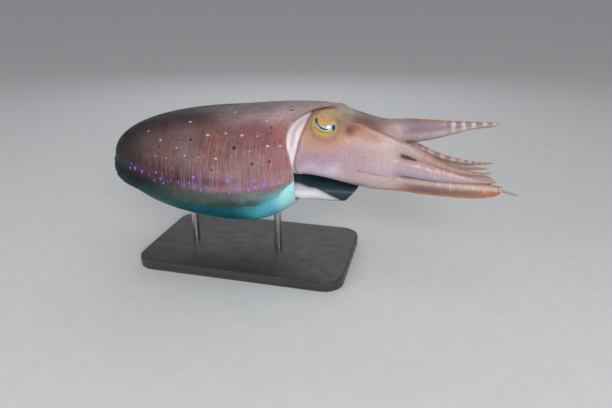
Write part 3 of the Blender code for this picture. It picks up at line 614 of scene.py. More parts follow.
# Tones that the skin's own nodes lay over the painted colour.
MOTTLES = (
    (26.0, 4.0, 0.55, 0.30, (0.05, 0.035, 0.04), (1.0, 0.9, 0.85), 1.0),
    (260.0, 3.0, 0.60, 0.35, (0.1, 0.07, 0.07), (1.0, 0.93, 0.9), 1.2),
)
PIGMENT = (0.16, 0.07, 0.06)
# Specks on the flank: scale, scale of the patches they gather in, tone and share.
SPECKS = ((300.0, 70.0, (0.66, 0.24, 0.15), 0.60), (340.0, 55.0, (0.62, 0.47, 0.50), 0.50))
SPOT_TONES = {
    "dark": (0.030, 0.014, 0.014),
    "pale": (0.82, 0.58, 0.70),
    "lilac": (0.34, 0.28, 0.76),
    "blue": (0.28, 0.25, 1.0),
}
SUBSURFACE_RADIUS = (1.0, 0.45, 0.35)


def skin_material(name, line_scale, wet, mottle, shine, spots=False):
    """Living skin: a painted colour, mottling, pigment dots, hair lines, spots, folds and warts."""
    m = Nodes(name)
    flow, at = m.attribute("flow", "Vector"), m.position()
    colour = m.attribute("base", "Color")
    for scale, detail, rough, low, dark, light, share in MOTTLES:
        cloud = m.range(m.noise(at, scale, detail, rough), low, 1 - low)
        colour = m.mix(mottle * share, colour, m.mix(cloud, dark, light), "OVERLAY")
    # tiny pigment cells
    freckle = m.times(m.range(m.cells(at, 620.0), 0.32, 0.14), m.range(m.noise(at, 90.0, 2.0), 0.45, 0.62))
    colour = m.mix(m.times(freckle, 0.22), colour, PIGMENT)
    # pale hair lines across the body
    along, across, _ = line_scale
    lines = m.noise(m.stretch(flow, line_scale), 1.0, 2.0, 0.55, 0.20)
    gaps = m.noise(m.stretch(flow, (along * 0.18, across * 2.2, 1.0)), 1.0, 2.0, 0.5)
    sharp = m.times(m.range(lines, 0.42, 0.70), m.range(gaps, 0.30, 0.62, 0.30, 1.0))
    colour = m.mix(m.times(sharp, m.attribute("lines")), colour, m.attribute("line_tint", "Color"))
    if spots:
        on_flank = m.range(m.attribute("lines"), 0.02, 0.30)
        for scale, gate, tone, share in SPECKS:
            near = m.range(m.cells(at, scale), 0.30, 0.14)
            here = m.range(m.noise(at, gate, 2.0), 0.52, 0.66)
            colour = m.mix(m.times(m.times(near, here), m.times(on_flank, share)), colour, tone)
        ragged = m.times(m.math("SUBTRACT", m.noise(at, 420.0, 2.0), 0.5), 0.35)
        for mask, tone in SPOT_TONES.items():
            edge = m.math("ADD", m.attribute(mask), ragged)
            colour = m.mix(m.range(edge, 0.10, 0.72, 0.0, 0.90), colour, tone)
    roughness = m.range(m.noise(at, 120.0, 2.0), 0.3, 0.7, wet - 0.06, wet + 0.10)
    grain = m.bump(m.noise(at, 900.0, 2.0, 0.6), 0.10, 0.0006)
    wrinkles = m.noise(m.stretch(flow, (along * 0.6, across * 1.6, 1.0)), 1.0, 3.0, 0.6)
    folds = m.bump(wrinkles, 0.25, 0.0006, grain)
    warts = m.bump(m.range(m.cells(at, 210.0), 0.55, 0.1), 0.16, 0.0007, folds)
    m.set(Base_Color=colour, Roughness=roughness, Normal=warts, Specular_IOR_Level=shine)
    m.set(Subsurface_Weight=0.12, Subsurface_Scale=0.004, Subsurface_Radius=SUBSURFACE_RADIUS)
    m.set(Coat_Weight=0.3 * shine, Coat_Roughness=0.25)
    return m.material


# Mantle and fins.

# Tail tones: the tail's own dark colour, deepened as painted shade where the light falls off towards the
# rear; teal low down, partly painted water light.
TAIL_DARK_AND_SHADE = (0.011, 0.006, 0.008)
TAIL_TEAL = (0.012, 0.026, 0.034)
BACK_REAR = (0.036, 0.026, 0.032)
BACK_MID = (0.080, 0.048, 0.052)
BACK_FRONT = (0.135, 0.105, 0.112)
FLANK_REAR = (0.115, 0.074, 0.072)
FLANK_MID = (0.232, 0.116, 0.114)
SHOULDER = (0.46, 0.33, 0.35)
SHOULDER_RIM = (0.62, 0.46, 0.50)
MID_SHADE = (0.10, 0.066, 0.072)
LOW_FRONT_PALE = (0.38, 0.25, 0.265)
BAND_OVER_SPOTS = (0.14, 0.055, 0.060)
FLANK_FRONT = (0.275, 0.092, 0.104)
FLANK_LOW_REAR = (0.048, 0.014, 0.020)
FLANK_LOW = (0.30, 0.182, 0.208)
RIM_PALE = (0.42, 0.31, 0.32)
RIM_ROSE = (0.385, 0.092, 0.108)
RIM_LOW = (0.37, 0.22, 0.205)
FIN_OLIVE = (0.088, 0.124, 0.108)
FIN_FRONT = (0.21, 0.275, 0.25)
# Dark rear of the fin: own colour deepened by painted shade where the light falls off.
FIN_REAR = (0.010, 0.020, 0.022)
FIN_EDGE_TONE = (0.012, 0.052, 0.050)
# Belly tones: the skin's own pale iridescent tone, painted turquoise partly as blue-green water light, and
# brightest at the front rim as painted light.
BELLY_TEAL_AND_WATER_LIGHT = (0.004, 0.125, 0.16)
BELLY_CYAN_AND_WATER_LIGHT = (0.12, 0.56, 0.70)
BELLY_RIM_AND_PAINTED_LIGHT = (0.46, 0.98, 1.0)
# Dark rear of the belly: own colour deepened by painted shade where the light falls off.
BELLY_REAR = (0.006, 0.030, 0.036)
INSIDE_PALE = (0.62, 0.60, 0.66)
HAIRLINE_PINK = (0.50, 0.35, 0.36)
HAIRLINE_VIOLET = (0.42, 0.31, 0.52)
PATCH_RED = (0.33, 0.090, 0.078)
PATCH_GREY = (0.21, 0.165, 0.175)
# Painted shade in the fine folds of the belly skin.
BELLY_FOLD_SHADE = (0.015, 0.19, 0.23)
# Painted shade on the lining deep inside the mantle's opening.
INSIDE_SHADE_GREY = (0.30, 0.26, 0.30)

# Spots on the flank: x, share of the height over the fin line, and radius.
PALE_SPOTS = (
    (-0.043, 0.88, 0.0027),
    (-0.006, 0.73, 0.0029),
    (0.022, 0.75, 0.0022),
    (0.048, 0.72, 0.0027),
    (0.088, 0.57, 0.0026),
    (0.012, 0.45, 0.0024),
    (-0.086, 0.66, 0.0024),
    (-0.055, 0.56, 0.0019),
    (-0.115, 0.80, 0.0019),
    (-0.039, 0.46, 0.0021),
    (-0.016, 0.45, 0.0018),
    (0.105, 0.55, 0.0019),
    (0.079, 0.86, 0.0019),
    (0.023, 0.96, 0.0022),
    (0.036, 0.41, 0.0014),
    (-0.072, 0.40, 0.0016),
    (-0.092, 0.42, 0.0018),
    (0.071, 0.70, 0.0016),
    (0.063, 0.53, 0.0016),
    (0.009, 0.89, 0.0014),
)
DARK_SPOTS = (
    (-0.033, 0.67, 0.0029),
    (0.039, 0.58, 0.0036),
    (-0.085, 0.88, 0.0034),
    (0.110, 0.95, 0.0029),
    (0.089, 0.78, 0.0022),
    (0.092, 0.37, 0.0026),
    (0.068, 0.37, 0.0024),
    (0.006, 0.30, 0.0024),
    (-0.088, 0.56, 0.0020),
)
LILAC_SPOTS = (
    (-0.143, 0.19, 0.0020),
    (-0.092, 0.14, 0.0026),
    (-0.024, 0.17, 0.0032),
    (0.031, 0.16, 0.0035),
    (0.071, 0.15, 0.0029),
    (0.095, 0.11, 0.0024),
)


# How much each kind is squeezed along x, y and z: the pale ones lie, the blue ones stand.
SPOT_SHAPES = {
    "pale": (0.75, 1.0, 1.35),
    "dark": (0.85, 1.0, 0.95),
    "lilac": (0.80, 1.0, 1.30),
    "blue": (1.25, 1.0, 0.80),
}
PALE_FLECKS = 34
BLUE_ROW_REAR, BLUE_ROW_FRONT = -0.148, 0.112


def flank_point(x, share, side):
    """A point of the mantle at a share of its height over the fin line."""
    x = np.asarray(x, float)
    y = side * mantle_half_width(x) * (1 - share**POWER) ** (1 / POWER)
    return np.stack([x, y, fin_line(x) + mantle_up(x) * share], -1)


def spot_field(points, spots, shape):
    """Largest of 1.15 minus the distance over the radius, over all spots squeezed to that shape."""
    field = np.full(len(points), -1.0)
    for centre, radius in spots:
        near = np.abs(points[:, 0] - centre[0]) < radius * 3.5
        d = np.linalg.norm((points[near] - centre) * shape, axis=1) / radius
        field[near] = np.maximum(field[near], 1.15 - d)
    return field


def spots_for(table, side, rng):
    """The photo's spots on the right side, and the same with small shifts on the left."""
    rows = []
    for x, share, radius in table:
        if side > 0:
            x = x + rng.uniform(-0.010, 0.010)
            share = float(np.clip(share + rng.uniform(-0.06, 0.06), 0.08, 0.97))
            radius = radius * rng.uniform(0.85, 1.15)
        rows.append((flank_point(x, share, side), radius))
    return rows


def pale_flecks(side, rng):
    """Tiny pale flecks strewn over one flank."""
    rows = []
    for _ in range(PALE_FLECKS):
        place = flank_point(rng.uniform(-0.13, 0.10), rng.uniform(0.25, 0.99), side)
        rows.append((place, rng.uniform(0.0006, 0.0011)))
    return rows


def blue_row(points, side, rng):
    """A row of blue dashes over one fin's root, some with a small dot above."""
    rows = []
    root = points[:, UP_ROWS]
    x = BLUE_ROW_REAR
    while x < BLUE_ROW_FRONT:
        row = UP_ROWS + int(rng.integers(-5, 3))
        ring = int(np.argmin(np.abs(root[:, 0] - x) + (root[:, 1] > -0.02) * 0.01))
        rows.append((points[ring, row] * (1, -side, 1), rng.uniform(0.0016, 0.0036)))
        if rng.random() < 0.40:
            dot = points[ring, UP_ROWS - int(rng.integers(4, 9))] * (1, -side, 1)
            rows.append((dot + (rng.uniform(-0.004, 0.004), 0, 0), rng.uniform(0.0009, 0.0014)))
        x += rng.uniform(0.0075, 0.0160)
    return rows


def paint_flank(flat, x, xx, h, to_rim):
    """Colour of the mantle above the fin line. xx and h are x and the share of its height, with a wobble."""
    low = blend(FLANK_LOW_REAR, FLANK_LOW, smooth(xx, -0.09, 0.02))
    back = layered(BACK_REAR, (BACK_MID, smooth(xx, -0.06, 0.05)), (BACK_FRONT, smooth(xx, 0.05, 0.15)))
    shoulder = blend(SHOULDER, SHOULDER_RIM, smooth(xx, 0.06, 0.12))
    patch = value_noise(flat * (1.0, 1.0, 0.6), 0.021, 8)
    patched = smooth(xx, -0.13, -0.02) * smooth(h, 0.98, 0.70) * 0.38
    tail = blend(TAIL_DARK_AND_SHADE, TAIL_TEAL, smooth(h, 0.45, 0.1))
    return layered(
        FLANK_REAR,
        (FLANK_MID, smooth(xx, -0.12, -0.01)),
        (FLANK_FRONT, smooth(xx, 0.02, 0.10)),
        (low, smooth(h, 0.46, 0.16) * smooth(xx, 0.125, 0.07)),
        (MID_SHADE, 0.50 * bump(h, 0.62, 0.13) * smooth(xx, -0.11, -0.03) * smooth(xx, 0.05, 0.01)),
        (LOW_FRONT_PALE, 0.60 * bump(h, 0.36, 0.15) * smooth(xx, 0.02, 0.05) * smooth(xx, 0.10, 0.075)),
        (BAND_OVER_SPOTS, 0.85 * bump(h, 0.14, 0.07) * smooth(xx, 0.055, 0.015)),
        (FLANK_LOW_REAR, 0.65 * bump(h, 0.10, 0.07) * smooth(xx, 0.02, -0.05)),
        (back, smooth(h, 0.70, 0.97) * 0.92),
        (shoulder, bump(h, 0.905, 0.085) * smooth(xx, -0.03, 0.07) * 0.85),
        (RIM_ROSE, smooth(x, 0.082, 0.112) * smooth(h, 0.95, 0.7) * 0.75),
        (RIM_LOW, smooth(x, 0.07, 0.11) * bump(h, 0.13, 0.12)),
        (RIM_PALE, smooth(to_rim, 0.024, 0.002) * smooth(h, 0.58, 0.80) * 0.70),
        (PATCH_RED, smooth(patch, 0.10, 0.75) * patched),
        (PATCH_GREY, smooth(-patch, 0.10, 0.75) * patched),
        # painted shade: the tail darkens towards its end where the light falls off, over its own dark tone
        (tail, smooth(xx, -0.10, -0.185) * 0.97),
    )


def paint_mantle(obj, flat, part, place, inside, to_rim):
    """Colours of the mantle and fins, and how strong and what tint their hair lines are."""
    x = flat[:, 0]
    h = (flat[:, 2] - fin_line(x)) / np.maximum(0.01, mantle_up(x)) + value_noise(flat, 0.03, 3) * 0.03
    xx = x + value_noise(flat, 0.04, 4) * 0.012
    flank = paint_flank(flat, x, xx, h, to_rim)
    outward_share = place + value_noise(flat, 0.012, 6) * 0.10
    # Near the front the fin's edge takes the belly's turquoise, partly painted water light.
    edge_tone = blend(FIN_EDGE_TONE, BELLY_CYAN_AND_WATER_LIGHT, smooth(xx, 0.065, 0.105) * 0.75)
    fin_top = layered(
        # the fin's rear: own dark tone with painted shade where the light falls off
        FIN_REAR,
        (FIN_OLIVE, smooth(xx, -0.125, -0.01)),
        (FIN_FRONT, smooth(xx, 0.00, 0.09)),
        (flank, smooth(outward_share, 0.31, 0.02)),
        (edge_tone, smooth(outward_share, 0.48, 0.98) * 0.85),
    )
    fold = np.abs(value_noise(flat * (0.45, 1.0, 1.0), 0.010, 9))
    belly = layered(
        # the belly's rear: own dark tone with painted shade where the light falls off
        BELLY_REAR,
        # painted water light: turquoise over the belly's own pale iridescent tone, brightest at the front rim
        (BELLY_TEAL_AND_WATER_LIGHT, smooth(xx, -0.16, -0.03)),
        (BELLY_CYAN_AND_WATER_LIGHT, smooth(xx, 0.03, 0.10)),
        (BELLY_RIM_AND_PAINTED_LIGHT, smooth(x, 0.088, 0.112)),
        # painted shade: darker lines along the belly's fine folds
        (BELLY_FOLD_SHADE, smooth(fold, 0.055, 0.0) * smooth(x, 0.070, 0.095) * 0.50),
    )
    # painted shade: the lining turns grey deeper inside the opening
    lip = blend(INSIDE_PALE, INSIDE_SHADE_GREY, smooth(inside, 0.35, 0.8))
    lip = blend(lip, RIM_PALE, smooth(h, 0.60, 0.85))
    fin_under = blend(belly, fin_top, 0.45)
    above, on_fin, under_fin = part == 0, part == 1, part == 2
    masks = [above[:, None], on_fin[:, None], under_fin[:, None]]
    colour = np.select(masks, [flank, fin_top, fin_under], belly)
    set_colour(obj, "base", blend(colour, lip, smooth(inside, 0.02, 0.32)))
    lines = np.select(
        [above, on_fin],
        [smooth(h, 0.99, 0.7) * (0.45 + 0.55 * smooth(h, 0.7, 0.30)), 0.75 * smooth(place, 0.55, 0.1)],
        0.0,
    )
    set_value(obj, "lines", lines * smooth(x, -0.17, -0.06) * (1 - smooth(inside, 0.0, 0.2)) * 0.68)
    tint = blend(HAIRLINE_PINK, HAIRLINE_VIOLET, smooth(h, 0.35, 0.08))
    set_colour(obj, "line_tint", tint * (0.35 + 0.65 * smooth(x, -0.16, 0.02))[:, None])


def make_mantle():
    """Mantle and both fins as one closed skin, with its colours, hair lines and spots."""
    points, inside, kinds = mantle_grid()
    rings, rows = points.shape[:2]
    full = mirror_grid(points)
    count = full.shape[1]
    flat = full.reshape(-1, 3)
    obj = new_mesh("mantle_and_fins_skin", flat, grid_faces(rings, count))

    # flow: metres along the outline and round the section, and the side
    steps = np.linalg.norm(np.diff(points[:, UP_ROWS + FIN_ROWS], axis=0), axis=1)
    along = np.r_[0, np.cumsum(steps)]
    across = np.linalg.norm(np.diff(points, axis=1), axis=2)
    around = np.concatenate([np.zeros((rings, 1)), np.cumsum(across, 1)], 1)
    around = around - around[:, UP_ROWS : UP_ROWS + 1]
    around = np.concatenate([around, around[:, -2:0:-1]], 1)
    side = (np.arange(count) >= rows).astype(float)
    flow = np.stack(np.broadcast_arrays(along[:, None], around, side), -1)
    set_vector(obj, "flow", flow.reshape(-1, 3))

    part, place = np.tile(np.concatenate([kinds, kinds[-2:0:-1]]), (rings, 1)).T
    front = full[np.count_nonzero(inside), :, 0]
    paint_mantle(obj, flat, part, place, np.repeat(inside, count), np.tile(front, rings) - flat[:, 0])

    rng = np.random.default_rng(7)
    for name, table in (("pale", PALE_SPOTS), ("dark", DARK_SPOTS), ("lilac", LILAC_SPOTS), ("blue", ())):
        spots = spots_for(table, -1, rng) + spots_for(table, 1, rng)
        if name == "blue":
            spots += blue_row(points, -1, rng) + blue_row(points, 1, rng)
        if name == "pale":
            spots += pale_flecks(-1, rng) + pale_flecks(1, rng)
        set_value(obj, name, spot_field(flat, spots, SPOT_SHAPES[name]))

    finish_mesh(obj, 0.00002)
    scale = (480.0, 24.0, 9.0)
    paint = skin_material("mantle_skin_paint", scale, wet=0.44, mottle=0.13, shine=0.22, spots=True)
    obj.data.materials.append(paint)
    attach(obj, "root")
    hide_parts("mantle", "fin_right", "fin_left")


# Head and arms: closed forms that are joined into one skin.


def super_circle(angles, power):
    """Places round a rounded box of that power, as shares of its half sizes."""
    c, s = np.cos(angles), np.sin(angles)
    return np.sign(c) * np.abs(c) ** (2 / power), np.sign(s) * np.abs(s) ** (2 / power)


def full_turn(count, offset=0.0):
    return 2 * math.pi * (np.arange(count) + offset) / count


def head_section(x):
    """Half width, middle height and half height of the head at x, closing to a round front."""
    last = HEAD_ROWS[-1][0]
    width, top, bottom = smooth_rows(HEAD_ROWS, np.minimum(x, last)).T
    share = np.clip((x - last) / (HEAD_FRONT_X - last), 0, 1)
    close = np.maximum(0.0, 1 - share**2.5) ** (1 / 2.5)
    return width * close, (top + bottom) / 2, (top - bottom) / 2 * close


def inside_mantle(points, let_go=(0.006, 0.020), room=NECK_ROOM):
    """Draws the neck's points in to clear the wall of the mantle's opening, until let_go ahead of it."""
    x, y, z = points.reshape(-1, 3).T
    up = z - fin_line(x)
    above = up > 0
    height = np.where(above, mantle_up(x), -mantle_down(x))
    half_width = mantle_half_width(x)
    share_up = np.maximum(0, up / height) ** (POWER / 2)
    angle = np.arctan2(share_up, (np.abs(y) / half_width) ** (POWER / 2))
    front = rim_x(np.where(above, angle, -angle))
    in_by = opening_wall(np.minimum(x, front), front) + room
    wide, tall = half_width - in_by, np.abs(height) - in_by
    full = (np.abs(y / wide) ** POWER + np.abs(up / tall) ** POWER) ** (1 / POWER)
    free = np.clip((x - front - let_go[0]) / (let_go[1] - let_go[0]), 0, 1)
    shrink = 1 + (1 / np.maximum(1.0, full) - 1) * (1 - free)
    beyond = x > np.where(above, LOBE_X, RIM_SIDE_X) + 0.020
    shrink = np.where(beyond, 1.0, shrink)
    return np.stack([x, y * shrink, fin_line(x) + up * shrink], -1).reshape(points.shape)


def head_points(xs, count):
    """Rings of the head's outside, with the mound round each eye."""
    width, middle, half = head_section(xs)
    c, s = super_circle(full_turn(count, 0.5), HEAD_POWER)
    x = np.repeat(xs[:, None], count, 1)
    y, z = width[:, None] * c, middle[:, None] + half[:, None] * s
    eye_z = EYE_CENTRE[2] - EYE_ROLL * np.clip(y / 0.02, -1, 1)
    off = np.hypot((x - EYE_CENTRE[0]) * 0.85, z - eye_z)
    mound = 0.55 * EYE_MOUND * bump(off, 0.0, EYE_MOUND_WIDTH)
    y = y + np.sign(y) * mound * np.minimum(1.0, np.abs(y) / 0.03)
    z = z + 0.4 * mound * smooth(z, 0.015, 0.035)
    return inside_mantle(np.stack([x, y, z], -1))


def closed_tube(rings):
    """Points and faces of a tube through rings (n, m, 3), closed at both ends."""
    n, m = rings.shape[:2]
    points = np.concatenate([rings.reshape(-1, 3), rings[0].mean(0)[None], rings[-1].mean(0)[None]])
    faces = grid_faces(n, m)[:, ::-1].tolist()
    for j in range(m):
        k = (j + 1) % m
        faces += [[n * m, j, k], [n * m + 1, (n - 1) * m + k, (n - 1) * m + j]]
    return points, faces


def arm_rows(number, side):
    """An arm's rows: as tabled on the right, and mirrored with a small shift that grows ahead on the left."""
    if side < 0:
        return ARM_ROWS[number]
    if number == 2:
        return LEFT_ARM_2
    shift_y, shift_z, shift_x = LEFT_SHIFT[number]
    path = ARM_ROWS[number]
    rows = []
    for x, y, z, across, deep in path:
        free = max(0.0, (x - 0.27) / (path[-1][0] - 0.27)) ** 0.6
        rows.append((x + shift_x * free, -y + shift_y * free, z + shift_z * free, across, deep))
    return tuple(rows)


def arm_frames(number, side, xs):
    """Centres, half sizes, side and outer directions and tangents of an arm at xs."""
    rows, outer = arm_rows(number, side), ARM_OUTER[number]
    y, z, across, deep = smooth_rows(rows, xs).T
    ahead = smooth_rows(rows, np.minimum(xs + 0.002, rows[-1][0]))
    behind = smooth_rows(rows, np.maximum(xs - 0.002, rows[0][0]))
    tangent = np.column_stack([np.full(len(xs), 0.004), (ahead - behind)[:, :2]])
    tangent /= np.linalg.norm(tangent, axis=1)[:, None]
    out = np.array([[outer[0], outer[1] * -side, outer[2]]])
    out = out - tangent * (out * tangent).sum(1)[:, None]
    out /= np.linalg.norm(out, axis=1)[:, None]
    return np.stack([xs, y, z], 1), across, deep, np.cross(tangent, out), out, tangent


def arm_tube(number, side, stations=170, count=44):
    first, last = arm_rows(number, side)[0][0], arm_rows(number, side)[-1][0]
    xs = first + (last - first) * np.linspace(0, 1, stations) ** 0.9
    centre, across, deep, sideways, out, _ = arm_frames(number, side, xs)
    angles = full_turn(count, 0.5)
    a, b = super_circle(angles, np.where(np.sin(angles) > 0, ARM_POWER_OUTER, ARM_POWER_ORAL))
    a, b = across[:, None] * a, deep[:, None] * b
    return centre[:, None] + sideways[:, None] * a[..., None] + out[:, None] * b[..., None]


def tentacle_tube(side, stations=110, count=20):
    first, last = TENTACLE_ROWS[0][0], TENTACLE_ROWS[-1][0]
    xs = np.linspace(first, last, stations)
    y, z, radius = smooth_rows(TENTACLE_ROWS, xs).T[:, :, None]
    radius = radius + 0.0003
    angles = full_turn(count)
    x = first + (xs - first) * (1.0 if side < 0 else TENTACLE_LEFT_SHORTER)
    x = np.repeat(x[:, None], count, 1)
    return np.stack([x, -side * y + radius * np.cos(angles), z + radius * np.sin(angles)], -1)


def ellipsoid_tube(centre, radii, axes, stations=60, count=80):
    """Rings of an ellipsoid whose axes are the columns of axes, with poles on the last one."""
    polar = np.linspace(0.02, math.pi - 0.02, stations)[:, None]
    angles = full_turn(count)
    local = np.broadcast_arrays(np.sin(polar) * np.cos(angles), np.sin(polar) * np.sin(angles), np.cos(polar))
    return centre + (np.stack(local, -1) * radii) @ axes.T


def eye_middle(side):
    """Centre of the eye on that side, -1 being the right, which the roll of the head lifts."""
    return np.array([EYE_CENTRE[0], side * EYE_CENTRE[1], EYE_CENTRE[2] - side * EYE_ROLL])


def eye_axes(side):
    """Columns: forward, up and outward directions of the eye on that side."""
    c, s = math.cos(EYE_TILT), math.sin(EYE_TILT)
    return np.array([[1, 0, 0], [0, -side * s, side * c], [0, c, s]], float)


def eye_local(points, side):
    return (points - eye_middle(side)) @ eye_axes(side)


def ball_middle(side):
    return eye_middle(side) - eye_axes(side)[:, 2] * EYE_BALL_SINK


def joined(name, tubes, voxel):
    """One mesh round all the tubes together."""
    points, faces, first = [], [], 0
    for tube in tubes:
        p, f = closed_tube(tube)
        points.append(p)
        faces += [[i + first for i in face] for face in f]
        first += len(p)
    raw = new_mesh(name + "_raw", np.concatenate(points), faces)
    change_mesh(raw, turn_outward)
    modifier = raw.modifiers.new("remesh", "REMESH")
    modifier.mode = "VOXEL"
    modifier.voxel_size = voxel
    modifier.use_smooth_shade = True
    graph = bpy.context.evaluated_depsgraph_get()
    mesh = bpy.data.meshes.new_from_object(raw.evaluated_get(graph))
    bpy.data.objects.remove(raw)
    mesh.name = name
    return link_new(name, mesh)


def edges_of(obj):
    edges = np.zeros(len(obj.data.edges) * 2, np.int32)
    obj.data.edges.foreach_get("vertices", edges)
    return edges.reshape(-1, 2)


def relax(points, edges, weights, rounds):
    """Laplacian smoothing, by weights from 0 to 1 for each point."""
    active = weights > 0.002
    edges = edges[active[edges[:, 0]] | active[edges[:, 1]]]
    used = np.unique(edges)
    place = np.zeros(len(points), np.int64)
    place[used] = np.arange(len(used))
    a, b = place[np.concatenate([edges, edges[:, ::-1]])].T
    n = len(used)
    degree = np.maximum(1, np.bincount(a, minlength=n))
    moving = (np.where(active, weights, 0)[used] * 0.6)[:, None]
    some = points[used]
    for _ in range(rounds):
        mean = np.stack([np.bincount(a, some[b, k], minlength=n) / degree for k in range(3)], 1)
        some = some + (mean - some) * moving
    points = points.copy()
    points[used] = some
    return points


def arm_coordinates(points, number, side):
    """x along an arm, place outward as a share of its half depth, how full, and the offset from its line."""
    rows = arm_rows(number, side)
    first, last = rows[0][0], rows[-1][0]
    table_x = np.linspace(first, last, 500)
    centre, across, deep, sideways, out, tangent = arm_frames(number, side, table_x)

    def at(values, x):
        if values.ndim == 1:
            return np.interp(x, table_x, values)
        return np.stack([np.interp(x, table_x, values[:, k]) for k in range(3)], 1)

    x = np.clip(points[:, 0], first, last)
    for _ in range(3):
        t = at(tangent, x)
        x = np.clip(x + ((points - at(centre, x)) * t).sum(1) / t[:, 0], first, last)
    delta = points - at(centre, x)
    a = (delta * at(sideways, x)).sum(1) / at(across, x)
    b = (delta * at(out, x)).sum(1) / at(deep, x)
    power = np.where(b > 0, ARM_POWER_OUTER, ARM_POWER_ORAL)
    full = (np.abs(a) ** power + np.abs(b) ** power) ** (1 / power)
    past = np.maximum(0, points[:, 0] - last) / 0.004
    return x, b, full + past, delta


# The eye's opening in its own plane, in millimetres: forward, upper edge and lower edge.
LID_ROWS = (
    (-15.2, 9.2, 8.4),
    (-14.3, 12.0, 5.0),
    (-12.7, 12.7, 2.6),
    (-11.0, 11.4, 1.0),
    (-8.5, 8.1, -1.2),
    (-5.8, 5.4, -3.1),
    (-3.0, 3.7, -4.3),
    (0.0, 2.8, -5.2),
    (4.6, 3.0, -5.5),
    (8.8, 5.2, -5.1),
    (11.0, 7.8, -4.5),
    (12.8, 8.7, -3.7),
    (14.6, 7.2, -2.2),
    (16.1, 3.2, 1.6),
)


def lid_edges(u):
    """Upper and lower edges of the eye's opening at u, carried on past its corners."""
    rows = np.array(LID_ROWS) / 1000
    upper, lower = smooth_rows(rows, u).T
    rear, front = np.maximum(0, rows[0, 0] - u), np.maximum(0, u - rows[-1, 0])
    return upper + 1.6 * rear - 1.2 * front, lower + 1.6 * rear


def opening_depth(u, v):
    """How far inside the eye's opening a place is; below 0 outside."""
    us = np.linspace(LID_ROWS[0][0], LID_ROWS[-1][0], 70) / 1000
    upper, lower = lid_edges(us)
    loop = np.concatenate([np.stack([us, upper], 1), np.stack([us, lower], 1)[::-1]])
    p = np.stack([u, v], 1)
    distance = np.full(len(p), 1.0)
    near = (np.abs(u) < 0.030) & (np.abs(v) < 0.030)
    q = p[near]
    best = np.full(len(q), 1.0)
    for a, b in zip(loop, np.roll(loop, -1, axis=0)):
        t = np.clip(((q - a) @ (b - a)) / max(1e-12, (b - a) @ (b - a)), 0, 1)
        best = np.minimum(best, np.hypot(*(q - a - t[:, None] * (b - a)).T))
    distance[near] = best
    upper, lower = lid_edges(u)
    inside = (u > us[0]) & (u < us[-1]) & (v < upper) & (v > lower)
    return np.where(inside, distance, -distance)


EYE_BALL = (0.0208, 0.0192, 0.0180)  # forward, up, outward
EYE_BALL_SINK = 0.0065
LID_BALL = [radius + 0.0012 for radius in EYE_BALL]


def ring_width(u):
    """Width of the yellow lower lid, which narrows towards the front."""
    return 0.0056 - 0.0040 * smooth(u, 0.002, 0.016)


def ball_height(u, v):
    """Height of the eyeball's outside, carried on as a straight slope near its rim."""
    share = np.hypot(u / EYE_BALL[0], v / EYE_BALL[1])
    knee = 0.93
    top = np.sqrt(np.maximum(0.0, 1 - np.minimum(share, knee) ** 2))
    slope = knee / math.sqrt(1 - knee**2)
    return -EYE_BALL_SINK + EYE_BALL[2] * (top - slope * np.maximum(0, share - knee))


# Lines on the head, right side: where ridges and creases run, as points of x, y, z.
RIDGE_UPPER = np.array(
    [
        (0.196, -0.036, 0.031),
        (0.2157, -0.0332, 0.0248),
        (0.2397, -0.0341, 0.0161),
        (0.2671, -0.0344, 0.0049),
        (0.30, -0.036, -0.008),
    ]
)
CREASE_LOWER = np.array(
    [
        (0.207, -0.050, -0.035),
        (0.2199, -0.0485, -0.0386),
        (0.2539, -0.0411, -0.0463),
        (0.2886, -0.0300, -0.0505),
    ]
)


def line_distance(points, line):
    """Distance to a line of points, and how far along it the nearest place is, from 0 to 1."""
    best, along = np.full(len(points), 1.0), np.zeros(len(points))
    for i, (a, b) in enumerate(zip(line[:-1], line[1:])):
        t = np.clip(((points - a) @ (b - a)) / ((b - a) @ (b - a)), 0, 1)
        d = np.linalg.norm(points - a - t[:, None] * (b - a), axis=1)
        nearer = d < best
        best[nearer] = d[nearer]
        along[nearer] = (i + t[nearer]) / (len(line) - 1)
    return best, along


ARM_KEYS = [(number, side) for side in (-1, 1) for number in (1, 2, 3, 4)]

GOLD = (0.62, 0.36, 0.12)
RING_YELLOW = (0.68, 0.55, 0.035)
RING_OLIVE = (0.26, 0.22, 0.02)
HEAD_TAN = (0.57, 0.325, 0.235)
HEAD_LILAC = (0.44, 0.295, 0.39)
HEAD_PALE = (0.61, 0.465, 0.475)
HEAD_CROWN = (0.30, 0.235, 0.225)
DOME_PEACH = (0.60, 0.43, 0.29)
HEAD_TOP = (0.19, 0.135, 0.13)
HEAD_GREEN = (0.36, 0.33, 0.235)
HEAD_RED = (0.22, 0.075, 0.062)
COLLAR_WHITE = (0.97, 0.84, 0.88)
# Painted shade in the groove between the collar and the head.
COLLAR_CREASE_SHADE = (0.27, 0.16, 0.18)
# Painted shade under the head: dark slate over its own pale underside.
UNDER_HEAD_SHADE = (0.045, 0.075, 0.095)
ROOT_PALE = (0.58, 0.455, 0.465)
ARM_MAUVE = (0.295, 0.215, 0.27)
BAR_LIGHT = (0.62, 0.47, 0.48)
BAR_DARK = (0.22, 0.19, 0.25)
EDGE_ORANGE = (0.46, 0.22, 0.08)
TIP_GREEN = (0.42, 0.42, 0.20)
ARM_OLIVE = (0.33, 0.28, 0.27)
SALMON = (0.90, 0.44, 0.42)
ARM_TAN = (0.42, 0.28, 0.26)
ARM_PINK = (0.50, 0.375, 0.42)
RIDGE_LAVENDER = (0.46, 0.40, 0.55)
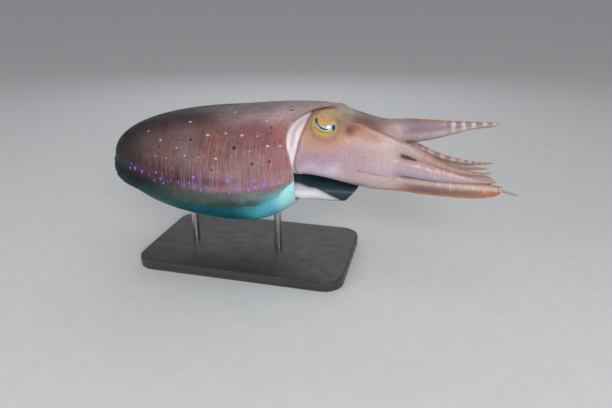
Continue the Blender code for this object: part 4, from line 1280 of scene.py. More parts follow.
# Painted shade along the creases of the head and where the arms meet.
CREASE_SHADE_BROWN = (0.25, 0.115, 0.105)
ARM_LOW = (0.195, 0.118, 0.118)
ORAL_PALE = (0.62, 0.52, 0.48)
BEIGE = (0.42, 0.31, 0.23)
TIP_BLUE = (0.55, 0.62, 0.80)
ARM_LOW_UPPER = (0.31, 0.172, 0.165)
ARM_LOW_END = (0.44, 0.18, 0.105)
CHEEK_LOW = (0.84, 0.72, 0.90)
RIDGE_PALE = (0.72, 0.56, 0.56)
FOLD_VIOLET = (0.46, 0.36, 0.50)
RING_GREY = (0.42, 0.40, 0.40)
RING_LIGHT = (0.80, 0.66, 0.22)
LID_GLOW = (0.82, 0.46, 0.08)
LID_CORNER = (0.74, 0.62, 0.27)
LID_EDGE = (0.42, 0.25, 0.07)
# Painted shade where the lids' skin tucks under them against the eyeball.
LID_CREVICE_SHADE = (0.05, 0.04, 0.03)


# Height of the ridge in front of the eye: x and z.
RIDGE_HEIGHTS = ((0.19, 0.2157, 0.2397, 0.2671, 0.30), (0.031, 0.0248, 0.0161, 0.0049, -0.006))

# The salmon squares along arms 2 and 3: places along x and half lengths.
ARM_2_SQUARES = (
    (0.2870, 0.0036),
    (0.2985, 0.0022),
    (0.3106, 0.0052),
    (0.3286, 0.0050),
    (0.3455, 0.0044),
    (0.3584, 0.0040),
    (0.3696, 0.0034),
    (0.3803, 0.0028),
    (0.3891, 0.0022),
)
ARM_3_SQUARES = (
    (0.2932, 0.0040),
    (0.3085, 0.0036),
    (0.3226, 0.0042),
    (0.3320, 0.0020),
    (0.3409, 0.0040),
    (0.3494, 0.0030),
    (0.3580, 0.0032),
    (0.3707, 0.0030),
    (0.3833, 0.0026),
    (0.3917, 0.0018),
)


def squares(x, table):
    """1 on the marks of a table of places and half lengths, 0 between them."""
    marks = np.zeros(len(x))
    for centre, half in table:
        marks = np.maximum(marks, smooth(half - np.abs(x - centre), 0.0, 0.0014))
    return marks


def paint_arm(number, side, x, b, points):
    """Colour of an arm at x along it and b outward, as a share of its half depth."""
    rows = arm_rows(number, side)
    last = rows[-1][0]
    to_tip = (last - x) / 0.15
    wobble = value_noise(points, 0.012, 20 + number) * 0.06
    outer = smooth(b, -0.35, 0.25)
    keel = smooth(b + wobble, 0.62, 0.92)
    rise = points[:, 2] - smooth_rows(rows, x)[:, 1]
    if number == 1:
        wave = 0.5 + 0.5 * np.sin((x + wobble * 0.02) / 0.0135 * 2 * math.pi + 0.6)
        bars = smooth(x, 0.322, 0.345)
        colour = layered(
            ROOT_PALE,
            (ARM_MAUVE, smooth(x, 0.25, 0.29)),
            (BAR_DARK, bars * smooth(wave, 0.62, 0.25) * 0.9),
            (BAR_LIGHT, bars * smooth(wave, 0.5, 0.8)),
            (EDGE_ORANGE, smooth(b + wobble, 0.80, 0.98) * smooth(x, 0.265, 0.31) * 0.9),
            (TIP_GREEN, smooth(to_tip, 0.10, 0.0)),
        )
    elif number == 2:
        marks = squares(x + wobble * 0.012, ARM_2_SQUARES)
        own, own_from, marked = ARM_TAN, 0.335, outer * 0.12
        if side > 0:
            own, own_from, marked = ARM_OLIVE, 0.31, smooth(rise, -0.0035, -0.0005) * 0.95
        colour = layered(
            ROOT_PALE,
            (own, smooth(x, 0.275, own_from)),
            (SALMON, marks * marked),
            (EDGE_ORANGE, keel * 0.25 * smooth(x, 0.27, 0.31) + 0.5 * smooth(to_tip, 0.3, 0.0)),
        )
    elif number == 3:
        share = rise / np.interp(x, [row[0] for row in rows], [row[3] for row in rows])
        ragged = value_noise(points, 0.0035, 42)
        marks = np.clip(squares(x + wobble * 0.02, ARM_3_SQUARES) * (0.85 + 0.6 * ragged), 0, 1)
        colour = layered(
            ROOT_PALE,
            (ARM_PINK, smooth(x, 0.25, 0.29)),
            (SALMON, marks * bump(share, 0.70 + 0.12 * ragged, 0.26) * outer * 0.9),
            (RIDGE_LAVENDER, outer * bump(share, -0.55, 0.36) * smooth(x, 0.35, 0.29)),
            (EDGE_ORANGE, 0.7 * smooth(to_tip, 0.35, 0.0)),
        )
    else:
        share = rise / 0.012
        strip = 0.5 + 0.5 * np.sin((x + points[:, 2] * 0.35) / 0.0052 * 2 * math.pi)
        strip = strip * smooth(value_noise(points, 0.008, 41), -0.1, 0.5)
        colour = layered(
            ROOT_PALE,
            (blend(ARM_LOW, ARM_LOW_UPPER, smooth(share, -0.6, 0.6)), smooth(x, 0.235, 0.30)),
            (ARM_LOW_END, smooth(x, 0.340, 0.405) * 0.9),
            (SALMON, 0.65 * smooth(strip, 0.35, 0.8) * smooth(x, 0.290, 0.338) * smooth(share, -0.5, 0.2)),
            (EDGE_ORANGE, keel * smooth(x, 0.23, 0.26)),
            (TIP_BLUE, smooth(last - x, 0.0035, 0.0)),
        )
    return blend(blend(ORAL_PALE, colour, 0.85 if number == 2 else 0.4), colour, outer)


def paint_head(p):
    """Colour of the head. The left is painted as the right's mirror, where the roll puts it."""
    x, y = p[:, 0], -np.abs(p[:, 1])
    rolled = smooth(p[:, 1], 0.0, 0.028) * smooth(p[:, 2], -0.020, 0.005) * smooth(x, 0.215, 0.195)
    z = p[:, 2] + 2 * EYE_ROLL * rolled
    xx, zz = x + value_noise(p, 0.022, 11) * 0.006, z + value_noise(p, 0.018, 12) * 0.005
    over_ridge = zz - np.interp(x, *RIDGE_HEIGHTS)
    top = smooth(over_ridge, -0.001, 0.007) * smooth(-y, 0.043, 0.030) * smooth(xx, 0.180, 0.200)
    top = np.maximum(top * smooth(xx, 0.260, 0.212), smooth(-y, 0.026, 0.010) * smooth(zz, 0.02, 0.03))
    around = np.hypot((xx - 0.163) / 1.15, zz - 0.028)
    ridge, on_ridge = line_distance(np.stack([x, y, z], 1), RIDGE_UPPER)
    crease, on_crease = line_distance(np.stack([x, y, z], 1), CREASE_LOWER)
    # a line just above the ridge, where painted shade goes
    streak, on_streak = line_distance(np.stack([x, y, z - 0.0045], 1), RIDGE_UPPER)
    over_crease, on_over = line_distance(np.stack([x, y, z - 0.006], 1), CREASE_LOWER)
    # the collar behind the head, and its inner fold
    edge = 0.1285 + 0.0085 * smooth(z, 0.005, 0.045) - 0.0078 * smooth(z, 0.020, -0.032)
    inner = edge - 0.0075 + 0.0015 * np.sin(z * 260)
    colour = layered(
        HEAD_PALE,
        (HEAD_TAN, smooth(zz, -0.02, 0.018)),
        (HEAD_LILAC, bump(zz, -0.020, 0.020) * smooth(xx, 0.27, 0.17) * 0.85),
        (HEAD_LILAC, bump(zz, 0.0, 0.015) * bump(xx, 0.21, 0.03) * 0.4),
        (CHEEK_LOW, bump(zz, -0.043, 0.014) * smooth(xx, 0.215, 0.165) * 0.85),
        (ROOT_PALE, smooth(xx, 0.225, 0.262) * 0.8),
        (HEAD_TOP, top),
        (HEAD_TAN, smooth(around, 0.045, 0.025) * 0.8),
        (GOLD, smooth(around, 0.031, 0.012) * smooth(zz, 0.018, 0.031) * 0.75),
        (HEAD_GREEN, bump(xx, 0.190, 0.0095) * bump(zz, 0.0375, 0.010) * 0.9),
        (HEAD_RED, bump(xx, 0.2005, 0.0085) * bump(zz, 0.0235, 0.0085) * 0.95),
        (HEAD_RED, bump(xx, 0.214, 0.011) * bump(over_ridge, 0.003, 0.006) * 0.6),
        # painted shade under the head
        (UNDER_HEAD_SHADE, smooth(zz, -0.052, -0.066) * smooth(xx, 0.235, 0.19) * 0.8),
        (EDGE_ORANGE, smooth(zz, -0.0630, -0.0690) * smooth(xx, 0.182, 0.210) * 0.8),
        (RIDGE_PALE, bump(ridge, 0, 0.0020) * 0.65 * smooth(on_ridge, 0.0, 0.25)),
        # painted shade along the lower crease
        (CREASE_SHADE_BROWN, bump(crease, 0, 0.0015) * 0.85 * smooth(on_crease, 0.0, 0.25)),
        # painted shade above the ridge, in the head's red-brown
        (HEAD_RED, bump(streak, 0, 0.0030) * 0.5 * smooth(on_streak, 0.0, 0.3) * smooth(on_streak, 1.0, 0.6)),
        (RIDGE_LAVENDER, bump(over_crease, 0, 0.0035) * 0.7 * smooth(on_over, 0.1, 0.5)),
        (COLLAR_WHITE, smooth(x, edge + 0.0022, edge - 0.0008) * smooth(z, 0.050, 0.040)),
        # painted shade in the groove behind the collar
        (COLLAR_CREASE_SHADE, bump(x, edge + 0.0024, 0.0014 + 0.0012 * smooth(z, -0.01, 0.02)) * 0.7),
        (FOLD_VIOLET, bump(x, inner, 0.0009) * 0.6 * smooth(z, -0.045, -0.02) * smooth(z, 0.035, 0.02)),
        (INSIDE_PALE, smooth(x, 0.104, 0.096)),
    )
    # lids
    u, v, w = eye_local(np.stack([x, y, z], 1), -1).T
    near = (w > -0.010).astype(float)
    away = -opening_depth(u, v)
    upper, _ = lid_edges(u)
    lower_half = smooth(v, upper + 0.0030, upper - 0.001)
    width = ring_width(u)
    ring = near * smooth(away, width + 0.0008, width - 0.0008) * lower_half
    shade = smooth(away, width * 0.62, width * 0.25) * smooth(v, 0.004, -0.003)
    over = near * (1 - lower_half)
    rear_glow = smooth(u, 0.006, -0.009)
    glow = smooth(away, 0.0075 + 0.0060 * rear_glow, 0.0008) * smooth(u, 0.0190, 0.010)
    glow = glow * (0.72 + 0.28 * rear_glow)
    rim = near * bump(away, width - 0.0005, 0.0007) * lower_half * smooth(u, 0.006, -0.012)
    crown = smooth(zz, 0.0405, 0.0445) * smooth(x, 0.128, 0.140) * smooth(away, 0.003, 0.007)
    return layered(
        colour,
        (RING_YELLOW, ring),
        (RING_OLIVE, ring * shade * 0.85),
        (RING_GREY, ring * smooth(away, 0.0012, 0.0003) * 0.6),
        (RING_LIGHT, rim * 0.6),
        (LID_GLOW, over * glow * smooth(z, 0.0445, 0.0385)),
        (LID_CORNER, near * bump(u, -0.0168, 0.0032) * bump(v, 0.0095, 0.0055) * 0.75),
        (LID_EDGE, over * smooth(away, 0.0009, 0.0001) * 0.55),
        # painted shade in the crevice inside the lids' edge
        (LID_CREVICE_SHADE, near * smooth(-away, -0.0001, 0.0006)),
        (blend(HEAD_CROWN, DOME_PEACH, smooth(-p[:, 1], 0.034, 0.044)), crown * 0.85),
    )


def fullness(points):
    """How full of each form points are, 1 on its surface, and their x, place outward and offset by arm."""
    width, middle, half = head_section(np.clip(points[:, 0], HEAD_ROWS[0][0], HEAD_FRONT_X - 0.0005))
    full = np.abs(points[:, 1] / width) ** HEAD_POWER + np.abs((points[:, 2] - middle) / half) ** HEAD_POWER
    fulls = [np.where(points[:, 0] > HEAD_FRONT_X, 5.0, full ** (1 / HEAD_POWER))]
    places = {}
    for key in ARM_KEYS:
        x, b, full, delta = arm_coordinates(points, *key)
        behind = np.maximum(0, arm_rows(*key)[0][0] + 0.012 - points[:, 0]) / 0.02
        fulls.append(full + behind)
        places[key] = (x, b, delta)
    return np.array(fulls), places


def ease_joints(points, edges, fulls, places):
    """Smooths where arms, head and lids join, and puts the free arms back on their own shapes."""
    nearest, second = np.sort(fulls, axis=0)[:2]
    near_joint = bump(second - nearest, 0.0, 0.22) * smooth(second, 2.2, 1.5)
    lid_joint = np.zeros(len(points))
    for side in (-1, 1):
        local = eye_local(points, side) + (0, 0, EYE_BALL_SINK)
        r = np.sqrt(((local / LID_BALL) ** 2).sum(1))
        lid_joint = np.maximum(lid_joint, bump(r, 1.10, 0.16) * smooth(local[:, 2], -0.012, -0.002))
    points = relax(points, edges, np.ones(len(points)), 5)
    x = points[:, 0]
    root = smooth(x, 0.222, 0.248) * smooth(x, 0.300, 0.272) * smooth(second, 2.6, 1.7)
    points = relax(points, edges, near_joint * 0.9, 16)
    for side in (-1, 1):
        keel = smooth(places[1, side][1], 0.1, 0.5) * smooth(fulls[1 + ARM_KEYS.index((1, side))], 1.5, 1.15)
        root = root * (1 - 0.85 * keel)
    x, z = points[:, 0], points[:, 2]
    low = smooth(z, -0.062, -0.067) * smooth(x, 0.215, 0.238) * smooth(x, 0.302, 0.278)
    points = relax(points, edges, np.maximum(root, low), 300)
    points = relax(points, edges, lid_joint, 120)
    for k, key in enumerate(ARM_KEYS, 1):
        x, _, delta = places[key]
        full, others = fulls[k], np.min(np.delete(fulls, k, axis=0), axis=0)
        free = (np.abs(full - 1) < 0.35) & (x < arm_rows(*key)[-1][0] - 0.002)
        own = smooth(others, 1.25, 1.6) * smooth(x, 0.274, 0.302) * free
        points = points + delta * ((1 / np.maximum(0.3, full) - 1) * own)[:, None] * 0.9
    return points


def raise_ridges(points, normals):
    """Raises the ridge and cuts the crease along both sides of the head."""
    move = np.zeros(len(points))
    for side in (-1, 1):
        own_side, mirror = points[:, 1] * side > 0.004, (1, -side, 1)
        d, along = line_distance(points, RIDGE_UPPER * mirror)
        move += own_side * 0.0018 * bump(d, 0, 0.0036) * smooth(along, 0.0, 0.25) * smooth(along, 1.0, 0.8)
        d, along = line_distance(points, CREASE_LOWER * mirror)
        move -= own_side * 0.0015 * bump(d, 0, 0.0020) * smooth(along, 0.0, 0.3)
    return points + normals * move[:, None]


def shape_lids(points, edges, side):
    """Draws the skin tight over the eyeball, with the lids' rolls and folds and a smooth way to the cheek."""
    middle, turned = eye_middle(side), eye_axes(side)
    u, v, w = eye_local(points, side).T
    depth = opening_depth(u, v)
    upper, _ = lid_edges(u)
    lower_half = smooth(v, upper + 0.003, upper - 0.002)
    upper_half = 1 - lower_half
    ring, ball = ring_width(u), ball_height(u, v)
    over_ball = ball + 0.0010 + 0.0006 * smooth(-depth, 0.0, 0.006)
    knee = 0.0007 + 0.0042 * smooth(-depth, 0.0045, 0.0100) * smooth(np.hypot(u, v), 0.0245, 0.0185)
    cover = (w + over_ball + np.sqrt((w - over_ball) ** 2 + knee**2)) / 2
    low_lift = 0.0011 * bump(-depth, ring * 0.45, ring * 0.36) - 0.0006 * bump(-depth, ring, 0.0010)
    high_lift = 0.0010 * bump(-depth, 0.0020, 0.0016) - 0.0005 * bump(-depth, 0.0062, 0.0016)
    lift = low_lift * lower_half + high_lift * upper_half
    share = smooth(depth, -0.0004, 0.0004)
    covered = (cover + lift) * (1 - share) + (ball - 0.0012) * share
    facing = (w > -0.012) & (np.abs(u) < 0.026) & (np.abs(v) < 0.024)
    moved = middle + np.stack([u, v, covered], 1) @ turned.T
    points = np.where(facing[:, None], moved, points)
    bowl = smooth(-depth, ring + 0.0005, ring + 0.0035) * smooth(np.hypot(u, v), 0.0340, 0.0280)
    bowl = bowl * smooth(v, 0.017, 0.009) * smooth(w, -0.020, -0.013)
    u, v, w = eye_local(relax(points, edges, bowl, 500), side).T
    under = (bowl > 0) & (np.hypot(u / EYE_BALL[0], v / EYE_BALL[1]) < 0.92)
    w = np.where(under, np.maximum(w, ball_height(u, v) + 0.0008), w)
    moved = middle + np.stack([u, v, w], 1) @ turned.T
    return np.where((bowl > 0)[:, None], moved, points)


def paint_head_and_arms(obj, points, fulls, places):
    """Mixes the head's and the arms' colours by how near each point is to them, and adds the tentacles'."""
    nearest, second = np.sort(fulls, axis=0)[:2]
    x, y, z = points.T
    colour = paint_head(points)
    weights = np.exp(-np.clip((fulls - nearest) / 0.10, 0, 30))
    weights /= weights.sum(0)
    total = colour * weights[0][:, None]
    lines = weights[0] * 0.10
    for key, weight in zip(ARM_KEYS, weights[1:]):
        own = weight > 0.01
        arm_x, b = places[key][0][own], places[key][1][own]
        tone = paint_arm(*key, arm_x, b, points[own])
        total[own] += blend(colour[own], tone, smooth(arm_x, 0.232, 0.285)) * weight[own][:, None]
        lines[own] += weight[own] * 0.45 * smooth(arm_x, 0.260, 0.330)
    # painted shade where two arms, or an arm and the head, meet
    between = smooth(second - nearest, 0.10, 0.0) * smooth(second, 1.25, 1.05) * smooth(x, 0.272, 0.292)
    total = blend(total, CREASE_SHADE_BROWN, between * 0.7)
    for side in (-1, 1):
        d, along = line_distance(points, tentacle_tube(side, 60, 3).mean(1))
        radius = np.interp(along, np.linspace(0, 1, len(TENTACLE_ROWS)), [row[3] for row in TENTACLE_ROWS])
        on = smooth(d, radius * 1.35 + 0.0006, radius + 0.0002) * smooth(nearest, 1.05, 1.25)
        total = blend(total, BEIGE, on)
    set_colour(obj, "base", total)
    set_vector(obj, "flow", np.stack([x, z * 0.9 + y * 0.3, 0 * x], 1))
    set_value(obj, "lines", np.clip(lines, 0, 1))
    set_colour(obj, "line_tint", total * 1.4 + 0.025)


def refine_eyes(obj):
    """Splits the faces round the eyes, where the lids need finer edges."""

    def split(bm):
        near = set()
        for side in (-1, 1):
            centre = Vector(eye_middle(side) + SHIFT)
            out = Vector(eye_axes(side)[:, 2])
            for e in bm.edges:
                off = (e.verts[0].co + e.verts[1].co) / 2 - centre
                if off.length < 0.0245 and off.dot(out) > -0.004:
                    near.add(e)
        bmesh.ops.subdivide_edges(bm, edges=list(near), cuts=1, use_grid_fill=True)

    change_mesh(obj, split)


def make_head():
    """Head, lids, arms and tentacles as one skin, with its ridges, creases and colours."""
    xs = np.concatenate([np.linspace(0.085, 0.262, 150), np.linspace(0.2635, 0.2715, 12)])
    tubes = [head_points(xs, 220)]
    tubes += [arm_tube(number, side) for number, side in ARM_KEYS]
    tubes += [tentacle_tube(side) for side in (-1, 1)]
    tubes += [ellipsoid_tube(ball_middle(side), LID_BALL, eye_axes(side)) for side in (-1, 1)]
    obj = joined("head_and_arms_skin", tubes, 0.00065)
    refine_eyes(obj)
    points, edges = read_vectors(obj, "co").astype(float) - SHIFT, edges_of(obj)
    fulls, places = fullness(points)
    points = ease_joints(points, edges, fulls, places)
    write_points(obj, points)
    points = raise_ridges(points, read_vectors(obj, "normal"))
    for side in (-1, 1):
        points = shape_lids(points, edges, side)
    write_points(obj, points)
    paint_head_and_arms(obj, points, fulls, places)
    obj.data.shade_smooth()
    obj.data.materials.clear()
    paint = skin_material("head_skin_paint", (520.0, 60.0, 60.0), wet=0.38, mottle=0.07, shine=0.34)
    obj.data.materials.append(paint)
    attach(obj, "root")
    names = [f"arm_{'right' if side < 0 else 'left'}_{number}" for number, side in ARM_KEYS]
    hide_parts("head", "tentacle_right", "tentacle_left", *names)


# The pupil's line in the eye's own plane, in millimetres: forward, up and half thickness.
PUPIL_ROWS = (
    (-13.2, 10.6, 1.9),
    (-12.3, 8.2, 1.6),
    (-9.9, 5.0, 0.9),
    (-7.6, 2.7, 1.1),
    (-5.4, 0.9, 1.15),
    (-2.7, -0.8, 1.1),
    (0.0, -1.9, 1.0),
    (3.0, -2.3, 0.85),
    (5.8, -2.2, 0.4),
)
PUPIL_TONE = (0.004, 0.004, 0.006)
BLOT_TONE = (0.045, 0.038, 0.070)
IRIS_DARK, IRIS_LIGHT, IRIS_LOW = (0.36, 0.38, 0.46), (0.76, 0.79, 0.82), (0.50, 0.50, 0.30)


def make_eye(side):
    """The eyeball with its silver iris and the narrow curved pupil."""
    axes, middle = eye_axes(side), ball_middle(side)
    points, faces = closed_tube(ellipsoid_tube(middle, EYE_BALL, axes, 200, 260))
    u, v, w = ((points - middle) @ axes).T
    share = np.hypot(u / EYE_BALL[0], v / EYE_BALL[1])
    # what the lids hide is drawn in
    draw = 1 - 0.14 * np.maximum(smooth(share, 0.90, 1.0), smooth(w, 0.30 * EYE_BALL[2], 0.0))
    points = middle + np.stack([u * draw, v * draw, np.where(w < 0, w * 0.6, w)], 1) @ axes.T
    name = "right" if side < 0 else "left"
    obj = new_mesh(f"eye_{name}_ball", points, faces)
    # the pupil: a curved line, thick at its rear end, and a dark blot at the front end
    local = eye_local(points, side)
    u, v, _ = local.T
    line = np.array(PUPIL_ROWS) / 1000 * (1, 1, 0)
    distance, along = line_distance(local * (1, 1, 0), line)
    thick = np.interp(along, np.linspace(0, 1, len(PUPIL_ROWS)), [row[2] / 1000 for row in PUPIL_ROWS])
    blot = np.hypot((u - 0.0131) / 0.0021, (v - 0.0010) / 0.0044)
    set_value(obj, "pupil", np.clip(1.5 - distance / thick, -1, 1.5))
    set_value(obj, "blot", np.clip(1.5 - blot, -1, 1.5))
    _, lower = lid_edges(u)
    set_value(obj, "iris_low", smooth(v, lower + 0.0022, lower - 0.0002))
    set_vector(obj, "flow", local)
    m = Nodes(f"eye_{name}_paint")
    streaks = m.noise(m.stretch(m.attribute("flow", "Vector"), (900.0, 260.0, 300.0)), 1.0, 3.0, 0.6)
    silver = m.mix(m.range(streaks, 0.30, 0.70), IRIS_DARK, IRIS_LIGHT)
    silver = m.mix(m.attribute("iris_low"), silver, IRIS_LOW)
    colour = m.mix(m.range(m.attribute("blot"), 0.20, 0.75), silver, BLOT_TONE)
    colour = m.mix(m.range(m.attribute("pupil"), 0.30, 0.62), colour, PUPIL_TONE)
    m.set(Base_Color=colour, Roughness=0.22, Coat_Weight=0.7, Coat_Roughness=0.04)
    m.set(Normal=m.bump(streaks, 0.05, 0.0003))
    obj.data.materials.append(m.material)
    finish_mesh(obj, 0.00001)
    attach(obj, "root")
    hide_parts(f"eye_{name}")


SUCKER_SIDES = 10
SUCKER_LANES = (-0.48, -0.16, 0.16, 0.48)
# From a sucker's foot over its rim into the cup: radius and height as shares of its size.
SUCKER_PROFILE = (
    (0.30, -0.9),
    (0.72, -0.4),
    (0.80, 0.3),
    (1.0, 0.75),
    (0.96, 1.0),
    (0.78, 1.02),
    (0.62, 0.7),
    (0.30, 0.45),
)
CUP_BOTTOM = 0.42
# Sucker tones: darker at the foot and down in the cup as painted shade, lighter on the rim, and flecks.
SUCKER_CUP_SHADE, SUCKER_LIGHT, SUCKER_FLECK = (0.28, 0.20, 0.19), (0.52, 0.42, 0.38), (0.40, 0.29, 0.27)


def make_suckers():
    """Small cups in four staggered rows along the inner face of every arm, joined as one piece."""
    rng = np.random.default_rng(5)
    radii, heights = np.array(SUCKER_PROFILE).T[:, :, None, None]
    angles = full_turn(SUCKER_SIDES)[:, None]
    levels = len(SUCKER_PROFILE)
    top, last_point = (levels - 1) * SUCKER_SIDES, levels * SUCKER_SIDES
    own_faces = grid_faces(levels, SUCKER_SIDES).tolist()
    own_faces += [[top + k, top + (k + 1) % SUCKER_SIDES, last_point] for k in range(SUCKER_SIDES)]
    own_faces.append(list(reversed(range(SUCKER_SIDES))))
    points, faces = [], []
    for number, side in ARM_KEYS:
        last = arm_rows(number, side)[-1][0]
        for row, lane in enumerate(SUCKER_LANES):
            x = SUCKER_FIRST_X + 0.0012 * row
            while x < last - 0.006:
                share = (x - SUCKER_FIRST_X) / (last - SUCKER_FIRST_X)
                frames = arm_frames(number, side, np.array([x]))
                centre, across, deep, sideways, out, _ = [f[0] for f in frames]
                size = min(0.00150, across * 0.19) * (1 - 0.35 * share) * rng.uniform(0.92, 1.08)
                sink = deep * (1 - abs(lane) ** ARM_POWER_ORAL) ** (1 / ARM_POWER_ORAL)
                foot = centre + sideways * lane * across - out * sink
                aim = -out + sideways * lane * 0.7
                aim /= np.linalg.norm(aim)
                along = np.cross(aim, sideways)
                along /= np.linalg.norm(along)
                turned = along * np.cos(angles) + np.cross(along, aim) * np.sin(angles)
                first = len(points)
                points += (foot + aim * heights * size * 0.8 + turned * radii * size).reshape(-1, 3).tolist()
                points.append(foot + aim * CUP_BOTTOM * size * 0.8)
                faces += [[first + k for k in face] for face in own_faces]
                x += size * 2.25
    obj = new_mesh("suckers", points, faces)
    own_heights = np.append(np.repeat(heights, SUCKER_SIDES), 0.3)
    set_value(obj, "height", np.tile(own_heights, len(points) // len(own_heights)))
    m = Nodes("sucker_paint")
    # painted shade: darker at the foot and down in the cup, lighter on the rim
    tone = m.mix(m.range(m.attribute("height"), 0.2, 1.0), SUCKER_CUP_SHADE, SUCKER_LIGHT)
    tone = m.mix(m.range(m.noise(m.position(), 500.0, 2.0), 0.35, 0.65, 0.0, 0.35), tone, SUCKER_FLECK)
    m.set(Base_Color=tone, Roughness=0.35, Coat_Weight=0.2, Coat_Roughness=0.2)
    obj.data.materials.append(m.material)
    finish_mesh(obj, 0.0000001)
    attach(obj, "root")


# Funnel tones: its own white, the head's shadow painted dark slate over its upper side, grey where that
# shadow ends, and painted shade along its lower side and down the bore.
FUNNEL_WHITE = (0.88, 0.90, 1.0)
FUNNEL_HEAD_SHADOW = (0.020, 0.048, 0.062)
FUNNEL_SHADOW_EDGE = (0.42, 0.46, 0.56)
FUNNEL_LOW_SHADE = (0.030, 0.090, 0.110)
FUNNEL_BORE_SHADE = (0.07, 0.08, 0.10)
LIP_RADIUS = 0.0008
# Up to which angle over the middle the funnel shows its own white, above which lies the head's painted
# shadow: x and degrees.
WHITE_X = (0.10, 0.125, 0.145, 0.162, 0.178, 0.192)
WHITE_TO = (34, 34, 26, 5, -28, -82)
OUTER_RINGS, LIP_RINGS = 130, 7


def funnel_rings(xs, inset, count=120):
    """Rings of the funnel, drawn in by inset, swollen at the neck and slanted towards the mouth."""
    half_width, middle, half_height = smooth_rows(FUNNEL_ROWS, xs).T
    slanting = FUNNEL_ROWS[3][0]
    shear = FUNNEL_SLANT * np.maximum(0.0, (xs - slanting) / (FUNNEL_ROWS[-1][0] - slanting)) ** 1.6
    angles = full_turn(count)
    swell = 1 + 0.14 * bump(xs, 0.109, 0.009)
    y = (half_width * swell - inset)[:, None] * np.cos(angles)
    rise = (half_height * swell - inset)[:, None] * np.sin(angles)
    x = np.repeat(xs[:, None], count, 1)
    rings = inside_mantle(np.stack([x, y, middle[:, None] + rise], -1), (0.0, 0.008), 0.0005)
    rings[..., 0] += shear[:, None] * rise
    return rings


def make_funnel():
    """The funnel with its rounded lip and the inside as far as one can see."""
    mouth = FUNNEL_ROWS[-1][0] - LIP_RADIUS
    outside = funnel_rings(np.linspace(0.085, mouth, OUTER_RINGS), 0.0)
    turns = np.linspace(0, math.pi, LIP_RINGS + 2)[1:-1]
    lip = funnel_rings(mouth + LIP_RADIUS * np.sin(turns), FUNNEL_WALL * (1 - np.cos(turns)) / 2)
    depth = np.linspace(0, 1, 30)
    inside = funnel_rings(mouth - depth * (FUNNEL_BORE - 0.001), FUNNEL_WALL * (1 + 0.5 * depth))
    rings = np.concatenate([outside, lip, inside])
    points, faces = closed_tube(rings)
    obj = new_mesh("funnel_skin", points, faces)
    x, y, z = points.T
    half_width, middle, half_height = smooth_rows(FUNNEL_ROWS, x).T
    angle = np.degrees(np.arctan2((z - middle) / half_height, np.abs(y) / half_width))
    # the funnel's own white below the line, the head's painted shadow above it
    below = np.interp(x, WHITE_X, WHITE_TO) - angle
    white = smooth(below + value_noise(points, 0.02, 31) * 8, -10, 8)
    ring_of = np.minimum(np.arange(len(points)) // rings.shape[1], len(rings) - 1)
    inner = smooth(ring_of, OUTER_RINGS + 2, OUTER_RINGS + LIP_RINGS + 4)
    # painted shadow and shade over the white: the head's shadow above, grey at its edge, darker along the
    # lower side and inside the bore
    colour = layered(
        FUNNEL_HEAD_SHADOW,
        (FUNNEL_WHITE, white),
        (FUNNEL_SHADOW_EDGE, white * smooth(below, 30, 5) * 0.5),
        (FUNNEL_LOW_SHADE, smooth(angle, -38, -54) * smooth(x, 0.100, 0.112) * 0.9),
        (FUNNEL_BORE_SHADE, inner * 0.8),
    )
    set_colour(obj, "base", colour)
    set_vector(obj, "flow", np.stack([x, np.radians(angle) * 0.03, 0 * x], 1))
    set_value(obj, "lines", 0.06 * white)
    set_colour(obj, "line_tint", np.full((len(points), 3), 0.6))
    finish_mesh(obj, 0.00001)
    paint = skin_material("funnel_skin_paint", (300.0, 60.0, 1.0), wet=0.42, mottle=0.06, shine=0.25)
    obj.data.materials.append(paint)
    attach(obj, "root")
    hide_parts("funnel")


make_mantle()
make_head()
make_eye(-1)
make_eye(1)
make_suckers()
make_funnel()


# Stand.


def stand_materials():
    m = Nodes("board_paint")
    at = m.position()
    grain = m.noise(m.stretch(at, (3.0, 60.0, 60.0)), 4.0, 5.0, 0.6, 0.3)
    tone = m.mix(m.range(grain, 0.3, 0.7), (0.030, 0.029, 0.030), (0.055, 0.053, 0.054))
    m.set(Base_Color=tone, Roughness=m.range(m.noise(at, 60.0, 3.0), 0.3, 0.7, 0.38, 0.5))
    m.set(Normal=m.bump(grain, 0.08, 0.0004), Coat_Weight=0.15, Coat_Roughness=0.3)
    s = Nodes("steel_paint")
    at = s.position()
    brushed = s.noise(s.stretch(at, (400.0, 400.0, 8.0)), 1.0, 3.0)
    tone = s.mix(s.range(brushed, 0.3, 0.7), (0.52, 0.52, 0.53), (0.66, 0.66, 0.67))
    s.set(Base_Color=tone, Metallic=1.0, Roughness=s.range(brushed, 0.3, 0.7, 0.24, 0.36))
    s.set(Normal=s.bump(brushed, 0.05, 0.0002))
    for name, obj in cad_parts.items():
        if name.startswith("stand_"):
            for slot in obj.material_slots:
                slot.material = m.material if name == "stand_base" else s.material


stand_materials()


# Stage, lights and camera.


def studio_material(name, colour, roughness):
    m = Nodes(name)
    grain = m.noise(m.position(), 40.0, 4.0)
    darker = tuple(c * 0.97 for c in colour)
    m.set(Base_Color=m.mix(m.range(grain, 0.3, 0.7), darker, colour), Roughness=roughness)
    return m.material


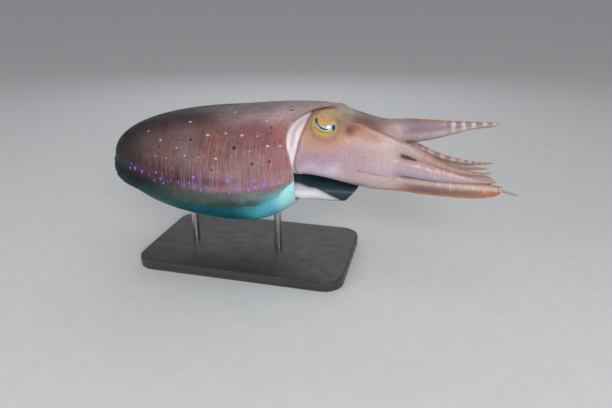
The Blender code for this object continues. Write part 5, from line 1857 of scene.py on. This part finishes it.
floor_mesh = bpy.data.meshes.new("studio_floor")
corners = [(x * 60, y * 60, -0.0006) for x, y in ((-1, -1), (1, -1), (1, 1), (-1, 1))]
floor_mesh.from_pydata(corners, [], [(0, 1, 2, 3)])
floor = link_new("studio_floor", floor_mesh)
floor_mesh.materials.append(studio_material("studio_floor_paint", (0.90, 0.91, 0.92), 0.7))


def area_light(name, at, aim, size, power, colour=(1.0, 1.0, 1.0)):
    data = bpy.data.lights.new(name, "AREA")
    data.shape = "RECTANGLE"
    data.size, data.size_y = size
    data.energy = power
    data.color = colour
    light = link_new(name, data)
    light.location = at
    light.rotation_mode = "QUATERNION"
    light.rotation_quaternion = (Vector(aim) - Vector(at)).to_track_quat("-Z", "Y")


area_light("key", (0.8, -1.6, 0.95), (0.10, 0, 0.20), (0.8, 0.8), 18.0, (1.0, 0.97, 0.93))
area_light("fill", (-1.3, -1.3, 0.7), (0.0, 0, 0.20), (1.2, 1.2), 5.0, (0.92, 0.96, 1.0))
area_light("back", (-0.3, 1.5, 1.1), (0.05, 0, 0.22), (1.4, 0.9), 4.0, (0.95, 0.98, 1.0))
area_light("top", (0.1, 0.1, 1.8), (0.05, 0, 0.2), (1.4, 1.4), 1.5)

world = bpy.data.worlds.new("studio_world")
bpy.context.scene.world = world
world.use_nodes = True
world.node_tree.nodes["Background"].inputs["Color"].default_value = (0.86, 0.88, 0.91, 1.0)
world.node_tree.nodes["Background"].inputs["Strength"].default_value = 0.30

# The photograph's camera: its width and focal length in pixels, its axes and its place.
PHOTO_WIDTH, FOCAL_LENGTH = 612.0, 520.0
SENSOR = 36.0
RIGHT = Vector((0.97063, 0.24060, 0.0))
UP = Vector((-0.09233, 0.37248, 0.92343))
BACK = Vector((0.22217, -0.89631, 0.38376))
CAMERA_PLACE = Vector((0.31066, -0.75585, 0.20706)) + Vector(SHIFT)

camera_data = bpy.data.cameras.new("camera")
camera_data.sensor_width = SENSOR
camera_data.lens = FOCAL_LENGTH / PHOTO_WIDTH * SENSOR
camera = link_new("camera", camera_data)
turn = Matrix((RIGHT, UP, BACK)).transposed()
camera.matrix_world = Matrix.Translation(CAMERA_PLACE) @ turn.to_4x4()
camera_data.clip_start, camera_data.clip_end = 0.01, 200.0
bpy.context.scene.camera = camera
bpy.context.scene.view_settings.view_transform = "Standard"
